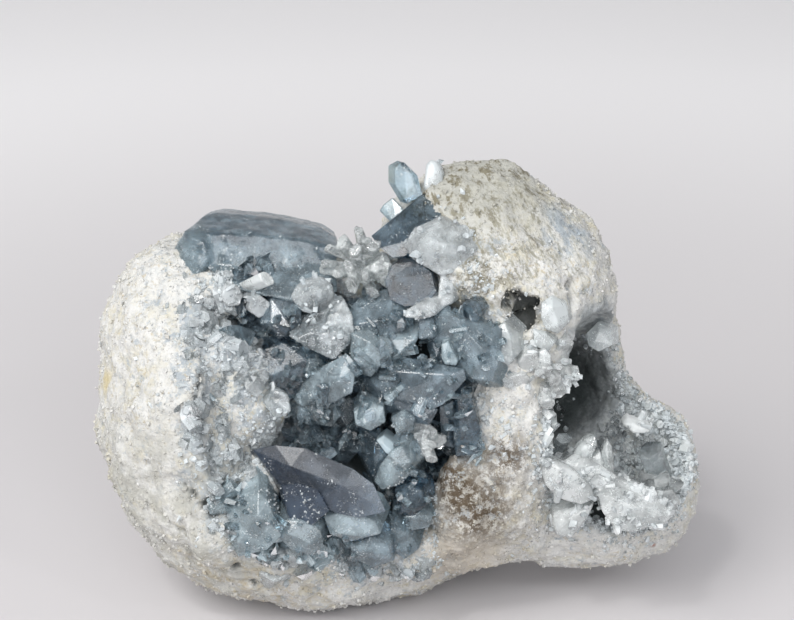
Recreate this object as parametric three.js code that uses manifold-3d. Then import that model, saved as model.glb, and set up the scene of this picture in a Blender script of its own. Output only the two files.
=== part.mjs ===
// A celestite geode: a two-lobed nodule of pale, chalky rock, broken open at the front over a deep crust of
// slate-blue crystals, and at its right-hand end over a smaller hollow of clear ones.
// Millimetres. +X is to the right, +Y away from the viewer, +Z up. The origin is on the surface it stands on,
// under the middle of its bounding box.
import * as THREE from "three";
import { ConvexGeometry } from "three/addons/geometries/ConvexGeometry.js";
import { ImprovedNoise } from "three/addons/math/ImprovedNoise.js";
import { mergeVertices } from "three/addons/utils/BufferGeometryUtils.js";
import Module from "manifold-3d";

const wasm = await Module();
wasm.setup();

const FIT_GAP = 0.3; // between two solids that touch
const ROOTS = 2.5; // thickness of the grown-together roots of a hollow's crystals
const RIM = 4; // how far inside the nodule's surface those roots end

// The nodule's outer form: ellipsoids that melt into each other, with lumps of a few sizes and heights on it.
const BODY = {
  middle: [4, 2, 46],
  detail: 11,
  blend: 3.5,
  lumps: [
    { size: 17, height: 2.2 },
    { size: 8, height: 1 },
  ],
  lobes: [
    { at: [-32, 2, 46], radii: [37.5, 40, 45] }, // the large left-hand lobe
    { at: [-44, 1, 66], radii: [22.5, 24, 22] }, // its upper shoulder
    { at: [-14, 2, 33], radii: [32, 32, 35] }, // its foot, which the geode stands on
    { at: [4, 14, 26], radii: [30, 26, 28] }, // the foot's back
    { at: [6, 17, 47], radii: [33, 21, 32] }, // the back, between the lobes
    { at: [22, 4, 74], radii: [27.5, 27, 27] }, // the upper right-hand lobe
    { at: [16, 3, 89], radii: [15, 18, 16] }, // its crown
    { at: [12, -2, 38], radii: [26, 27, 28] }, // the waist between them
    { at: [27, -14, 46], radii: [9, 14, 25] }, // the pillar between the two hollows
    { at: [48, 4, 28], radii: [24.5, 24, 21] }, // the bowl at the right-hand end
    { at: [41, 15, 57], radii: [11.5, 13, 17] }, // the wall behind the bowl
  ],
};

// The two hollows, which reach past the nodule's surface so that they are open, and a small pit.
const FRONT_HOLLOW = {
  middle: [-11, -34, 56],
  detail: 4,
  blend: 3,
  lumps: [{ size: 11, height: 2 }],
  lobes: [
    { at: [-16, -42, 56], radii: [28, 25, 34] },
    { at: [0, -36, 50], radii: [18, 24, 34] },
    { at: [-22, -26, 78], radii: [22, 19, 14] },
    { at: [2, -28, 78], radii: [15, 16, 18] },
  ],
};
const SIDE_HOLLOW = {
  middle: [50, -14, 48],
  detail: 4,
  blend: 3,
  lumps: [{ size: 11, height: 2 }],
  lobes: [
    { at: [54, -17, 46], radii: [21, 21, 22] },
    { at: [42, -6, 51], radii: [10, 18, 15] },
    { at: [47, -14, 62], radii: [8, 13, 14] },
  ],
};
const PIT = { at: [27, -24.5, 78.5], radius: 4.5, detail: 1 };

// Each crystal runs from its root to its tip. point is the length of its chisel point, and roll turns it, in
// degrees, about its length.
const FRONT_CRYSTALS = [
  // the long deep-blue point, and the grey point below the upper lobe
  { from: [-31, -16, 43.5], to: [-2.5, -37, 37], wide: 14, thick: 11, point: 15, roll: 20 },
  { from: [-3, -10, 55], to: [13.5, -31, 64.5], wide: 13, thick: 9, point: 10, roll: 15 },
  // the leaning prism, the rounded knot beside it and the dark trough behind it
  { from: [-27, -16, 51.5], to: [-7.5, -33, 72.5], wide: 10, thick: 8, point: 6, roll: 35 },
  { from: [-5, -10, 57], to: [-13.5, -34, 53.5], wide: 11, thick: 9, point: 5, roll: 10 },
  { from: [-33, -17, 54], to: [-16.5, -24, 73], wide: 11, thick: 8, point: 7, roll: 60 },
  // the frosted window below the ledge, and the tongue that hangs beside it
  { from: [-13, -4, 83], to: [-20.5, -27, 77], wide: 13, thick: 11, point: 5, roll: 5 },
  { from: [-36, -10, 75.5], to: [-26.5, -22, 86.5], wide: 6, thick: 5, point: 4, roll: 30 },
  { from: [-9, -5, 75.5], to: [-14, -33, 70], wide: 9, thick: 6, point: 6, roll: 40 },
  { from: [1, -6, 70.5], to: [-9.5, -28, 72], wide: 8, thick: 6, point: 5, roll: 0 },
  // the frosted block on the upper lobe, the blue face under its crown and the pale bar
  { from: [9, -4, 81.5], to: [-1.5, -23, 81], wide: 11, thick: 10, point: 4, roll: 15 },
  { from: [15, -4, 89.5], to: [1.5, -25, 90], wide: 14, thick: 12, point: 5, roll: 30 },
  { from: [9, 1, 94], to: [-5.5, -14, 91.5], wide: 13, thick: 9, point: 8, roll: 50 },
  { from: [11.5, -10, 77], to: [1.5, -30, 80], wide: 5, thick: 4, point: 1.5, roll: 0 },
  // the two blocks below it, and the upright prism beside the pillar
  { from: [17, -14, 72], to: [6, -31, 67], wide: 10, thick: 8, point: 5, roll: 25 },
  { from: [21, -18, 70], to: [12.5, -32, 66], wide: 11, thick: 9, point: 4, roll: 50 },
  { from: [16, -23, 42], to: [14.5, -29, 62.5], wide: 6, thick: 5.5, point: 3, roll: 30 },
  // the moon-shaped crystal, and the pale ones along the foot of the hollow
  { from: [6, -12, 29.5], to: [-4.5, -34, 49.5], wide: 11, thick: 6, point: 5, roll: 10 },
  { from: [-27, -20, 32.5], to: [-12, -37, 28], wide: 10, thick: 8, point: 7, roll: 30 },
  { from: [-40, -27, 37.5], to: [-23, -39, 29], wide: 12, thick: 9, point: 6, roll: 15 },
  { from: [-27, -22, 17], to: [-21, -37, 28], wide: 10, thick: 7, point: 5, roll: 40 },
  { from: [8, -12, 17], to: [0, -29, 39], wide: 8, thick: 6, point: 5, roll: 0 },
  { from: [-12, -15, 18], to: [-3, -33, 28], wide: 9, thick: 8, point: 6, roll: 30 },
  { from: [9, -13, 20], to: [1, -31, 28.5], wide: 8, thick: 7, point: 5, roll: 60 },
  // the short ones on the left-hand rim
  { from: [-43, -23, 69], to: [-29, -29, 79.5], wide: 8, thick: 6, point: 4, roll: 10 },
  { from: [-41, -26, 62], to: [-29, -33, 69.5], wide: 9, thick: 6, point: 4, roll: 70 },
];
const SIDE_CRYSTALS = [
  // the two that stand up in the middle
  { from: [42, -11, 34], to: [44.5, -20, 48], wide: 5, thick: 4, point: 4, roll: 0 },
  { from: [49.5, -10, 33], to: [47, -21, 47.5], wide: 5.5, thick: 4.5, point: 5, roll: 30 },
  // the chunky ones along the lip
  { from: [32, -10, 33], to: [43.5, -27, 36], wide: 10, thick: 8, point: 5, roll: 15 },
  { from: [46, -6, 35.5], to: [51.5, -28, 28], wide: 12, thick: 9, point: 7, roll: 40 },
  { from: [56, -3, 28], to: [63.5, -19, 26.5], wide: 9, thick: 8, point: 5, roll: 0 },
  { from: [37, -13, 19], to: [41.5, -25, 33], wide: 7, thick: 6, point: 5, roll: 30 },
  { from: [62, 1, 27], to: [56, -10, 43], wide: 8, thick: 6, point: 5, roll: 20 },
  { from: [71, 3, 26], to: [62.5, -10, 40.5], wide: 8, thick: 7, point: 4, roll: 50 },
  { from: [40.5, -8, 31], to: [36.5, -20, 44.5], wide: 6, thick: 5, point: 4, roll: 45 },
  // the fringe on the pillar's edge
  { from: [33, -14, 65], to: [39, -25, 61.5], wide: 5, thick: 4, point: 4, roll: 0 },
  { from: [31, -16, 62], to: [34.5, -29, 57], wide: 5.5, thick: 4.5, point: 4, roll: 30 },
  { from: [29, -17, 68], to: [32.5, -31, 61.5], wide: 6, thick: 5, point: 4, roll: 60 },
  { from: [33, -13, 68.5], to: [38, -24, 69.5], wide: 5, thick: 4, point: 3, roll: 20 },
  { from: [31, -15, 48.5], to: [37, -20, 51.5], wide: 3, thick: 2.5, point: 2.5, roll: 0 },
  // those on the wall behind
  { from: [49, 14, 57], to: [45, 2, 65.5], wide: 7, thick: 5, point: 4, roll: 30 },
  { from: [60, 15, 43.5], to: [53.5, 4, 52.5], wide: 7, thick: 6, point: 4, roll: 0 },
];
const LEDGE_CRYSTALS = [
  // the big one that lies along the top, and the paler one grown into its end
  { from: [-46, -4, 87], to: [-12.5, -8, 85.5], wide: 17, thick: 12, point: 7, roll: 60 },
  { from: [-49, -5, 80], to: [-43, -9, 92.5], wide: 11, thick: 9, point: 4, roll: 20 },
];
const CROWN_CRYSTALS = [
  // the clear one that stands on the rim, the small one behind it and the knob
  { from: [4, 2, 90], to: [2, -5, 107.5], wide: 8.5, thick: 6, point: 4, roll: 0 },
  { from: [0, 7, 88], to: [-4, 4, 95.5], wide: 4, thick: 3, point: 2.5, roll: 30 },
  { from: [10, 2, 94], to: [7.5, -2, 107.5], wide: 5, thick: 4.5, point: 2, roll: 40 },
];

// The spray between the lobes, and the small crystals that fill each hollow's wall.
const SPRAY = { from: [-7, -9, 82], towards: [0, -0.45, 0.9], reach: 14, wide: 3.5, count: 8, lean: 55 };
const FRONT_FILLING = { count: 46, lengths: [6, 12], widths: [3, 6], seed: 7 };
const SIDE_FILLING = { count: 28, lengths: [4, 8], widths: [2.5, 4.5], seed: 11 };
const SMALL_CRYSTAL = { thick: 0.8, point: 0.7 }; // as shares of its width
const SUNK = 1.5; // how far a small crystal's root is below the wall
const STRAY = 1.3; // how far it may lean away from the hollow's middle
const COVER = 2.5; // the rock that there has to be behind it

// A crystal's root is a little smaller than its shoulder, and its two-cornered tip a little off its middle.
const ROOT_SHARE = 0.85;
const TIP = [0.22, 0.1];
const SHOULDER_STEP = 0.25; // how much higher the shoulder's outer corners are, as a share of the point
// The corners of a crystal's section, as shares of half its width and half its thickness.
const SIX_SIDES = [
  [1, 0],
  [0.55, 1],
  [-0.55, 1],
  [-1, 0],
  [-0.55, -1],
  [0.55, -1],
];
const FOUR_SIDES = [
  [1, 0.2],
  [-0.2, 1],
  [-1, -0.2],
  [0.2, -1],
];

const GOLDEN_ANGLE = Math.PI * (3 - Math.sqrt(5));
const OUTSIDE = 130; // further from a form's middle than any of its surface
const STEPS = 60; // steps taken from there to the surface,
const CARE = 0.6; // each this share of the distance still left
const GROUND = { width: 300, depth: 60 }; // what the flat spot is cut with

const noise = new ImprovedNoise();

/** Roughly how far a point is outside an ellipsoid. */
function distanceToLobe(point, { at, radii }) {
  const offset = point.clone().sub(new THREE.Vector3(...at));
  const shares = offset.divide(new THREE.Vector3(...radii));
  const reach = shares.length();
  const slope = shares.divide(new THREE.Vector3(...radii)).length();
  return slope > 0 ? (reach * (reach - 1)) / slope : -Math.min(...radii);
}

/** Roughly how far a point is outside a form made of melted, lumpy lobes. */
function distanceTo(point, { lobes, blend, lumps }) {
  let melted = 0;
  for (const lobe of lobes) melted += Math.exp(-distanceToLobe(point, lobe) / blend);
  let raised = 0;
  for (const { size, height } of lumps) raised += height * noise.noise(point.x / size, point.y / size, point.z / size);
  return -blend * Math.log(melted) - raised;
}

/** Where the line from a form's middle leaves it, moved outwards by grow. */
function surfacePoint(form, direction, grow = 0) {
  const middle = new THREE.Vector3(...form.middle);
  const point = new THREE.Vector3();
  let reach = OUTSIDE;
  for (let step = 0; step < STEPS; step++) {
    point.copy(middle).addScaledVector(direction, reach);
    reach -= CARE * (distanceTo(point, form) - grow);
  }
  return point;
}

/** A closed geometry as a solid that can be joined and cut. */
function solidOf(geometry) {
  geometry.deleteAttribute("normal");
  geometry.deleteAttribute("uv");
  const merged = mergeVertices(geometry);
  return new wasm.Manifold(
    new wasm.Mesh({
      numProp: 3,
      vertProperties: merged.getAttribute("position").array,
      triVerts: new Uint32Array(merged.index.array),
    }),
  );
}

/** A form as one closed solid, moved outwards by grow. */
function solidForm(form, grow = 0) {
  const geometry = new THREE.IcosahedronGeometry(1, form.detail);
  const corners = geometry.getAttribute("position");
  const direction = new THREE.Vector3();
  for (let i = 0; i < corners.count; i++) {
    direction.fromBufferAttribute(corners, i).normalize();
    corners.setXYZ(i, ...surfacePoint(form, direction, grow).toArray());
  }
  return solidOf(geometry);
}

/** The largest single piece of a solid, as a geometry. */
function geometryOf(solid) {
  const largest = solid.decompose().sort((a, b) => b.volume() - a.volume())[0];
  const mesh = largest.getMesh();
  const geometry = new THREE.BufferGeometry();
  geometry.setAttribute("position", new THREE.BufferAttribute(mesh.vertProperties, mesh.numProp));
  geometry.setIndex(new THREE.BufferAttribute(mesh.triVerts, 1));
  return geometry;
}

const joined = (solids) => solids.reduce((all, solid) => all.add(solid));

/** A prism with a chisel point. With no roll, its wide faces turn towards the viewer. */
function crystal({ from, to, wide, thick, point, roll }, section, grow = 0) {
  const root = new THREE.Vector3(...from);
  const axis = new THREE.Vector3(...to).sub(root);
  const length = axis.length() + grow;
  axis.normalize();
  const across = new THREE.Vector3().crossVectors(axis, new THREE.Vector3(0, -1, 0)).normalize();
  across.applyAxisAngle(axis, THREE.MathUtils.degToRad(roll));
  const through = new THREE.Vector3().crossVectors(axis, across);
  const corner = ([u, v], share, up) =>
    root
      .clone()
      .addScaledVector(across, u * share * (wide / 2 + grow))
      .addScaledVector(through, v * share * (thick / 2 + grow))
      .addScaledVector(axis, up);
  const shoulder = length - point;
  const raised = ([u]) => (Math.abs(u) === 1 ? SHOULDER_STEP * point : 0);
  return solidOf(
    new ConvexGeometry([
      ...section.map((spot) => corner(spot, ROOT_SHARE, 0)),
      ...section.map((spot) => corner(spot, 1, shoulder + raised(spot))),
      corner(TIP, 1, length),
      corner(TIP, -1, length),
    ]),
  );
}

const largeCrystals = (rows, grow) => rows.map((row) => crystal(row, SIX_SIDES, grow));

function smallCrystal(from, to, wide, roll) {
  const [thick, point] = [SMALL_CRYSTAL.thick * wide, SMALL_CRYSTAL.point * wide];
  return crystal({ from: from.toArray(), to: to.toArray(), wide, thick, point, roll }, FOUR_SIDES);
}

/** A repeatable source of numbers from 0 to 1. */
function randomFrom(seed) {
  let state = seed;
  return () => {
    state = (Math.imul(state, 1664525) + 1013904223) >>> 0;
    return state / 2 ** 32;
  };
}

/** Small crystals all over the wall of a hollow, leaning towards its middle. */
function filling(form, { count, lengths, widths, seed }) {
  const random = randomFrom(seed);
  const between = ([low, high]) => THREE.MathUtils.lerp(low, high, random());
  const found = [];
  for (let i = 0; i < count; i++) {
    const height = 1 - (2 * i + 1) / count;
    const ring = Math.sqrt(1 - height * height);
    const turn = i * GOLDEN_ANGLE;
    const direction = new THREE.Vector3(ring * Math.cos(turn), ring * Math.sin(turn), height);
    const wall = surfacePoint(form, direction);
    const lean = new THREE.Vector3(random() - 0.5, random() - 0.5, random() - 0.5);
    const inward = direction.clone().negate().addScaledVector(lean, STRAY).normalize();
    const [length, wide, roll] = [between(lengths), between(widths), 180 * random()];
    if (distanceTo(wall, BODY) > -COVER) continue;
    const root = wall.clone().addScaledVector(inward, -SUNK);
    const tip = wall.clone().addScaledVector(inward, length);
    found.push(smallCrystal(root, tip, wide, roll));
  }
  return found;
}

/** Slender crystals from one spot, which lean out further and further round a middle line. */
function spray({ from, towards, reach, wide, count, lean }) {
  const root = new THREE.Vector3(...from);
  const middle = new THREE.Vector3(...towards).normalize();
  const hinge = new THREE.Vector3(1, 0, 0);
  const found = [];
  for (let i = 0; i < count; i++) {
    const opened = THREE.MathUtils.degToRad(lean) * Math.sqrt((i + 0.5) / count);
    const direction = middle.clone().applyAxisAngle(hinge, opened).applyAxisAngle(middle, i * GOLDEN_ANGLE);
    const tip = root.clone().addScaledVector(direction, reach);
    found.push(smallCrystal(root, tip, wide, 40 * i));
  }
  return found;
}

const nodule = solidForm(BODY);
const hollows = joined([FRONT_HOLLOW, SIDE_HOLLOW].map((form) => solidForm(form)));
const pit = solidOf(new THREE.IcosahedronGeometry(PIT.radius, PIT.detail).translate(...PIT.at));
const groundBox = new THREE.BoxGeometry(GROUND.width, GROUND.width, GROUND.depth);
const ground = solidOf(groundBox.translate(0, 0, -GROUND.depth / 2));
const rind = nodule.subtract(hollows).subtract(pit).subtract(ground);

// The rock and the gap round it, which the crystals stay out of.
const narrowHollows = joined([FRONT_HOLLOW, SIDE_HOLLOW].map((form) => solidForm(form, -FIT_GAP)));
const keptClear = solidForm(BODY, FIT_GAP).subtract(narrowHollows);

const ledge = joined(largeCrystals(LEDGE_CRYSTALS)).subtract(keptClear);
const crown = joined(largeCrystals(CROWN_CRYSTALS)).subtract(keptClear);
const ledgeAndCrownWithGap = joined(largeCrystals([...LEDGE_CRYSTALS, ...CROWN_CRYSTALS], FIT_GAP));

/** The crust of one hollow: its crystals, grown together at their roots. */
function crust(form, crystals) {
  const wall = solidForm(form, -FIT_GAP).subtract(solidForm(form, -ROOTS));
  const roots = wall.intersect(solidForm(BODY, -RIM));
  return joined([roots, ...crystals]).subtract(keptClear).subtract(ledgeAndCrownWithGap);
}

const frontCrust = crust(FRONT_HOLLOW, [
  ...largeCrystals(FRONT_CRYSTALS),
  ...spray(SPRAY),
  ...filling(FRONT_HOLLOW, FRONT_FILLING),
]);
const sideCrust = crust(SIDE_HOLLOW, [...largeCrystals(SIDE_CRYSTALS), ...filling(SIDE_HOLLOW, SIDE_FILLING)]);

const geode = new THREE.Group();

function addPiece(name, solid, colour, roughness) {
  const material = new THREE.MeshStandardMaterial({ color: colour, roughness, metalness: 0, flatShading: true });
  const mesh = new THREE.Mesh(geometryOf(solid), material);
  mesh.name = name;
  geode.add(mesh);
}

addPiece("rind", rind, 0xd9d6cc, 0.95);
addPiece("front_crystals", frontCrust, 0x7e93a3, 0.25);
addPiece("side_crystals", sideCrust, 0xb9c4c4, 0.25);
addPiece("ledge_crystal", ledge, 0x7c8a96, 0.25);
addPiece("crown_crystals", crown, 0xa9b8bd, 0.2);

const box = new THREE.Box3().setFromObject(geode);
geode.position.set(-(box.min.x + box.max.x) / 2, -(box.min.y + box.max.y) / 2, -box.min.z);

export default geode;
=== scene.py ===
"""A celestite geode: the chalky nodule, its large crystals, and the druse of small ones around them.

Metres, in the frame of the solids. +X is to the right, +Y away from the camera and +Z up.
"""

import math
import random

import bmesh
import bpy
import mathutils.noise
import numpy as np
from mathutils import Matrix, Vector


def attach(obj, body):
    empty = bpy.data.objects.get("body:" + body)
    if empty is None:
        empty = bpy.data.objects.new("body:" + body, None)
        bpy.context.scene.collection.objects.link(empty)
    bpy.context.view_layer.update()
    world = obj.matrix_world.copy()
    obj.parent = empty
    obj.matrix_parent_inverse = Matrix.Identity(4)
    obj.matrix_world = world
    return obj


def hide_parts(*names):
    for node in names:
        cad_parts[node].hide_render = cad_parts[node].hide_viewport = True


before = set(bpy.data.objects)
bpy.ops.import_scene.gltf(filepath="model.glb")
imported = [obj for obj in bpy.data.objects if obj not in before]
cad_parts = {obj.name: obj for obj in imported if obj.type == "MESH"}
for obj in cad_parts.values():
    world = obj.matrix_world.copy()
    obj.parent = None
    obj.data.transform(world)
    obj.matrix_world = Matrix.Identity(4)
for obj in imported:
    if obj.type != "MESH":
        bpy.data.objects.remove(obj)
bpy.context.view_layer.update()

MM = 0.001
# The nodule's places are measured from the middle of its lobes, which is here in the frame.
NODULE_ORIGIN = Vector((-0.72, -0.84, 0.0)) * MM


def at(x, y, z):
    """A place on the nodule, given in millimetres."""
    return Vector((x, y, z)) * MM + NODULE_ORIGIN


# The camera

LOOKS_AT = at(0, 0, 71)
CAMERA_RISE = math.radians(18)
CAMERA_AWAY = 0.432
CAMERA_LENS = 85
SENSOR_WIDTH = 36
NEAREST_SEEN = 0.01

# The photo: its width and middle in pixels, and the place in its middle, in the nodule's millimetres
PHOTO_WIDTH = 794
PHOTO_MIDDLE = (397, 310)
PHOTO_LOOKS_AT = (0.02, 0.04, 71)


def seen(*picks):
    """The places, in millimetres, of points picked on the photo: pixels across and down, and a depth."""
    reach = CAMERA_LENS / SENSOR_WIDTH * PHOTO_WIDTH
    rise, ahead = math.sin(CAMERA_RISE), math.cos(CAMERA_RISE)
    eye = np.array(PHOTO_LOOKS_AT) + CAMERA_AWAY / MM * np.array([0, -ahead, rise])
    places = []
    for across, down, depth in picks:
        right, up = (across - PHOTO_MIDDLE[0]) / reach, (PHOTO_MIDDLE[1] - down) / reach
        way = np.array([right, ahead + up * rise, up * ahead - rise])
        place = eye + (depth - eye[1]) / way[1] * way
        places.append([round(value, 1) for value in place.tolist()])
    return places


def set_camera():
    back = Vector((0, -math.cos(CAMERA_RISE), math.sin(CAMERA_RISE)))
    bpy.ops.object.camera_add(location=LOOKS_AT + CAMERA_AWAY * back)
    camera = bpy.context.object
    camera.name = "camera"
    camera.rotation_mode = "QUATERNION"
    camera.rotation_quaternion = (-back).to_track_quat("-Z", "Y")
    camera.data.lens = CAMERA_LENS
    camera.data.sensor_width = SENSOR_WIDTH
    camera.data.clip_start = NEAREST_SEEN
    bpy.context.scene.camera = camera


# The studio: a pale floor that turns up into a backdrop, a soft bright sky and soft lights

FLOOR_WIDTH, FLOOR_DEPTH = 6, 3
BACKDROP_TURN = 0.4
CLOTH_NEAR_SHADE, CLOTH_FAR_LIGHT = (0.58, 0.56, 0.57), (0.91, 0.895, 0.905)
# The cloth is painted darker near the geode, as painted shade, and paler far off, as painted light: how far
# from the geode it starts to turn paler, and where it's palest
CLOTH_SHADE_FADE = (0.12, 0.7)
SKY_COLOUR = (0.97, 0.985, 1.0, 1)
SKY_STRENGTH = 0.45
# The lights: place and size in metres, power in watts and colour
LIGHTS = {
    "window": ((-0.85, -1.0, 1.2), 1.0, 20.5, (1.0, 0.99, 0.97)),
    "front_fill": ((0.1, -1.4, 0.8), 1.0, 11.5, (0.95, 0.97, 1.0)),
    "glint": ((-0.25, -0.55, 0.75), 0.08, 0.9, (1.0, 1.0, 1.0)),
    "side_glint": ((0.45, -0.6, 0.5), 0.07, 0.5, (1.0, 1.0, 1.0)),
}


def set_studio():
    deselect()
    bpy.ops.mesh.primitive_plane_add(size=1, location=(0, 0, 0))
    floor = bpy.context.object
    floor.name = "floor"
    floor.data.transform(Matrix.Diagonal((FLOOR_WIDTH, FLOOR_DEPTH, 1, 1)))
    bpy.ops.object.mode_set(mode="EDIT")
    mesh = bmesh.from_edit_mesh(floor.data)
    for edge in mesh.edges:
        edge.select_set(all(corner.co.y > 1 for corner in edge.verts))
    bmesh.update_edit_mesh(floor.data)
    bpy.ops.mesh.extrude_edges_move(TRANSFORM_OT_translate={"value": (0, 0.5, 0.2)})
    bpy.ops.mesh.extrude_edges_move(TRANSFORM_OT_translate={"value": (0, 0.2, 3)})
    bpy.ops.object.mode_set(mode="OBJECT")
    bpy.ops.object.shade_smooth()
    bevel = floor.modifiers.new("turn", "BEVEL")
    bevel.width = BACKDROP_TURN
    bevel.segments = 8
    cloth = Finish("floor_cloth")
    away = cloth.add("ShaderNodeVectorMath", operation="LENGTH")
    cloth.feed(away.inputs[0], cloth.place)
    # Painted shade near the geode, fading to painted light far off
    paler = cloth.between(away.outputs["Value"], *CLOTH_SHADE_FADE)
    cloth.feed(cloth.shader.inputs["Base Color"], cloth.mix(paler, CLOTH_NEAR_SHADE, CLOTH_FAR_LIGHT))
    cloth.shader.inputs["Roughness"].default_value = 0.9
    floor.data.materials.append(cloth.material)

    world = bpy.data.worlds.new("studio")
    world.use_nodes = True
    sky = world.node_tree.nodes["Background"]
    sky.inputs["Color"].default_value = SKY_COLOUR
    sky.inputs["Strength"].default_value = SKY_STRENGTH
    bpy.context.scene.world = world

    for name, (place, size, watts, colour) in LIGHTS.items():
        bpy.ops.object.light_add(type="AREA", location=place)
        light = bpy.context.object
        light.name = name
        light.data.size = size
        light.data.energy = watts
        light.data.color = colour
        light.rotation_mode = "QUATERNION"
        light.rotation_quaternion = (Vector(place) - LOOKS_AT).to_track_quat("Z", "Y")
    bpy.context.scene.view_settings.view_transform = "Standard"


# Making shapes

def deselect():
    if bpy.context.object and bpy.context.object.mode != "OBJECT":
        bpy.ops.object.mode_set(mode="OBJECT")
    for piece in bpy.context.selected_objects:
        piece.select_set(False)


def only(piece):
    """Makes this piece the one that is selected and active."""
    deselect()
    piece.select_set(True)
    bpy.context.view_layer.objects.active = piece
    return piece


def apply_modifier(piece, kind, **settings):
    modifier = piece.modifiers.new(kind.lower(), kind)
    for name, value in settings.items():
        setattr(modifier, name, value)
    only(piece)
    bpy.ops.object.modifier_apply(modifier=modifier.name)


def roughen(piece, name, kind, size_mm, height_mm, depth=1):
    """Pushes the surface in and out by a pattern with lumps of this size."""
    pattern = bpy.data.textures.new(name, kind)
    pattern.noise_scale = size_mm * MM
    if kind == "CLOUDS":
        pattern.noise_depth = depth
    settings = {"texture": pattern, "texture_coords": "LOCAL", "strength": height_mm * MM, "mid_level": 0.5}
    apply_modifier(piece, "DISPLACE", **settings)


def copy_of_node(node, name):
    """A copy of a solid's mesh with its loose triangles merged."""
    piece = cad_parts[node].copy()
    piece.data = piece.data.copy()
    piece.data.materials.clear()
    piece.parent = None
    piece.name = name
    for key in list(piece.keys()):
        del piece[key]
    bpy.context.scene.collection.objects.link(piece)
    only(piece)
    bpy.ops.object.mode_set(mode="EDIT")
    bpy.ops.mesh.select_all(action="SELECT")
    bpy.ops.mesh.remove_doubles(threshold=1e-6)
    bpy.ops.object.mode_set(mode="OBJECT")
    return piece


def select_faces(piece, wanted):
    """Selects, in edit mode, the faces whose middle and normal are wanted."""
    mesh = bmesh.from_edit_mesh(piece.data)
    mesh.normal_update()
    for face in mesh.faces:
        face.select_set(wanted(face.calc_center_median(), face.normal))
    mesh.select_flush_mode()
    bmesh.update_edit_mesh(piece.data)


def join(pieces, name):
    deselect()
    for piece in pieces:
        piece.select_set(True)
    bpy.context.view_layer.objects.active = pieces[0]
    bpy.ops.object.join()
    pieces[0].name = name
    return pieces[0]


def paint(piece, name, values):
    """Stores one number for each corner of the mesh."""
    attribute = piece.data.attributes.new(name, "FLOAT", "POINT")
    attribute.data.foreach_set("value", np.asarray(values, np.float32))


def map_corners(piece, places):
    """Gives the piece a map with one place, in metres, for each of its corners."""
    loops = np.zeros(len(piece.data.loops), int)
    piece.data.loops.foreach_get("vertex_index", loops)
    lines = piece.data.uv_layers.new(name="UVMap")
    lines.data.foreach_set("uv", places[loops].astype(np.float32).ravel())


def corners_of(piece):
    """The piece's corners in the nodule's own millimetres."""
    corners = np.zeros(len(piece.data.vertices) * 3)
    piece.data.vertices.foreach_get("co", corners)
    return (corners.reshape(-1, 3) - np.array(NODULE_ORIGIN)) / MM


def normals_of(piece):
    normals = np.zeros(len(piece.data.vertices) * 3)
    piece.data.vertex_normals.foreach_get("vector", normals)
    return normals.reshape(-1, 3)


def smooth(values, low, high):
    share = np.clip((values - low) / (high - low), 0, 1)
    return share * share * (3 - 2 * share)


def unit(vectors):
    return vectors / np.maximum(np.linalg.norm(vectors, axis=-1, keepdims=True), 1e-9)


def away_from(points, place):
    return np.linalg.norm(points - np.array(place), axis=1)


def distance_to(points, lobes, blend):
    """Roughly how far each point, in millimetres, is outside a form made of melted ellipsoids."""
    melted = np.zeros(len(points))
    for middle, radii in lobes:
        shares = (points - np.array(middle)) / np.array(radii)
        reach = np.linalg.norm(shares, axis=1)
        slope = np.maximum(np.linalg.norm(shares / np.array(radii), axis=1), 1e-6)
        melted += np.exp(-reach * (reach - 1) / slope / blend)
    return -blend * np.log(np.maximum(melted, 1e-300))


def noise_at(points, size_mm, octaves=3):
    """Soft noise from about -1 to 1 at each point, with lumps of the given size."""
    return np.array([mathutils.noise.fractal(tuple(p), 0.8, 2.0, octaves) for p in points / size_mm])


# Finishes

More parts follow.
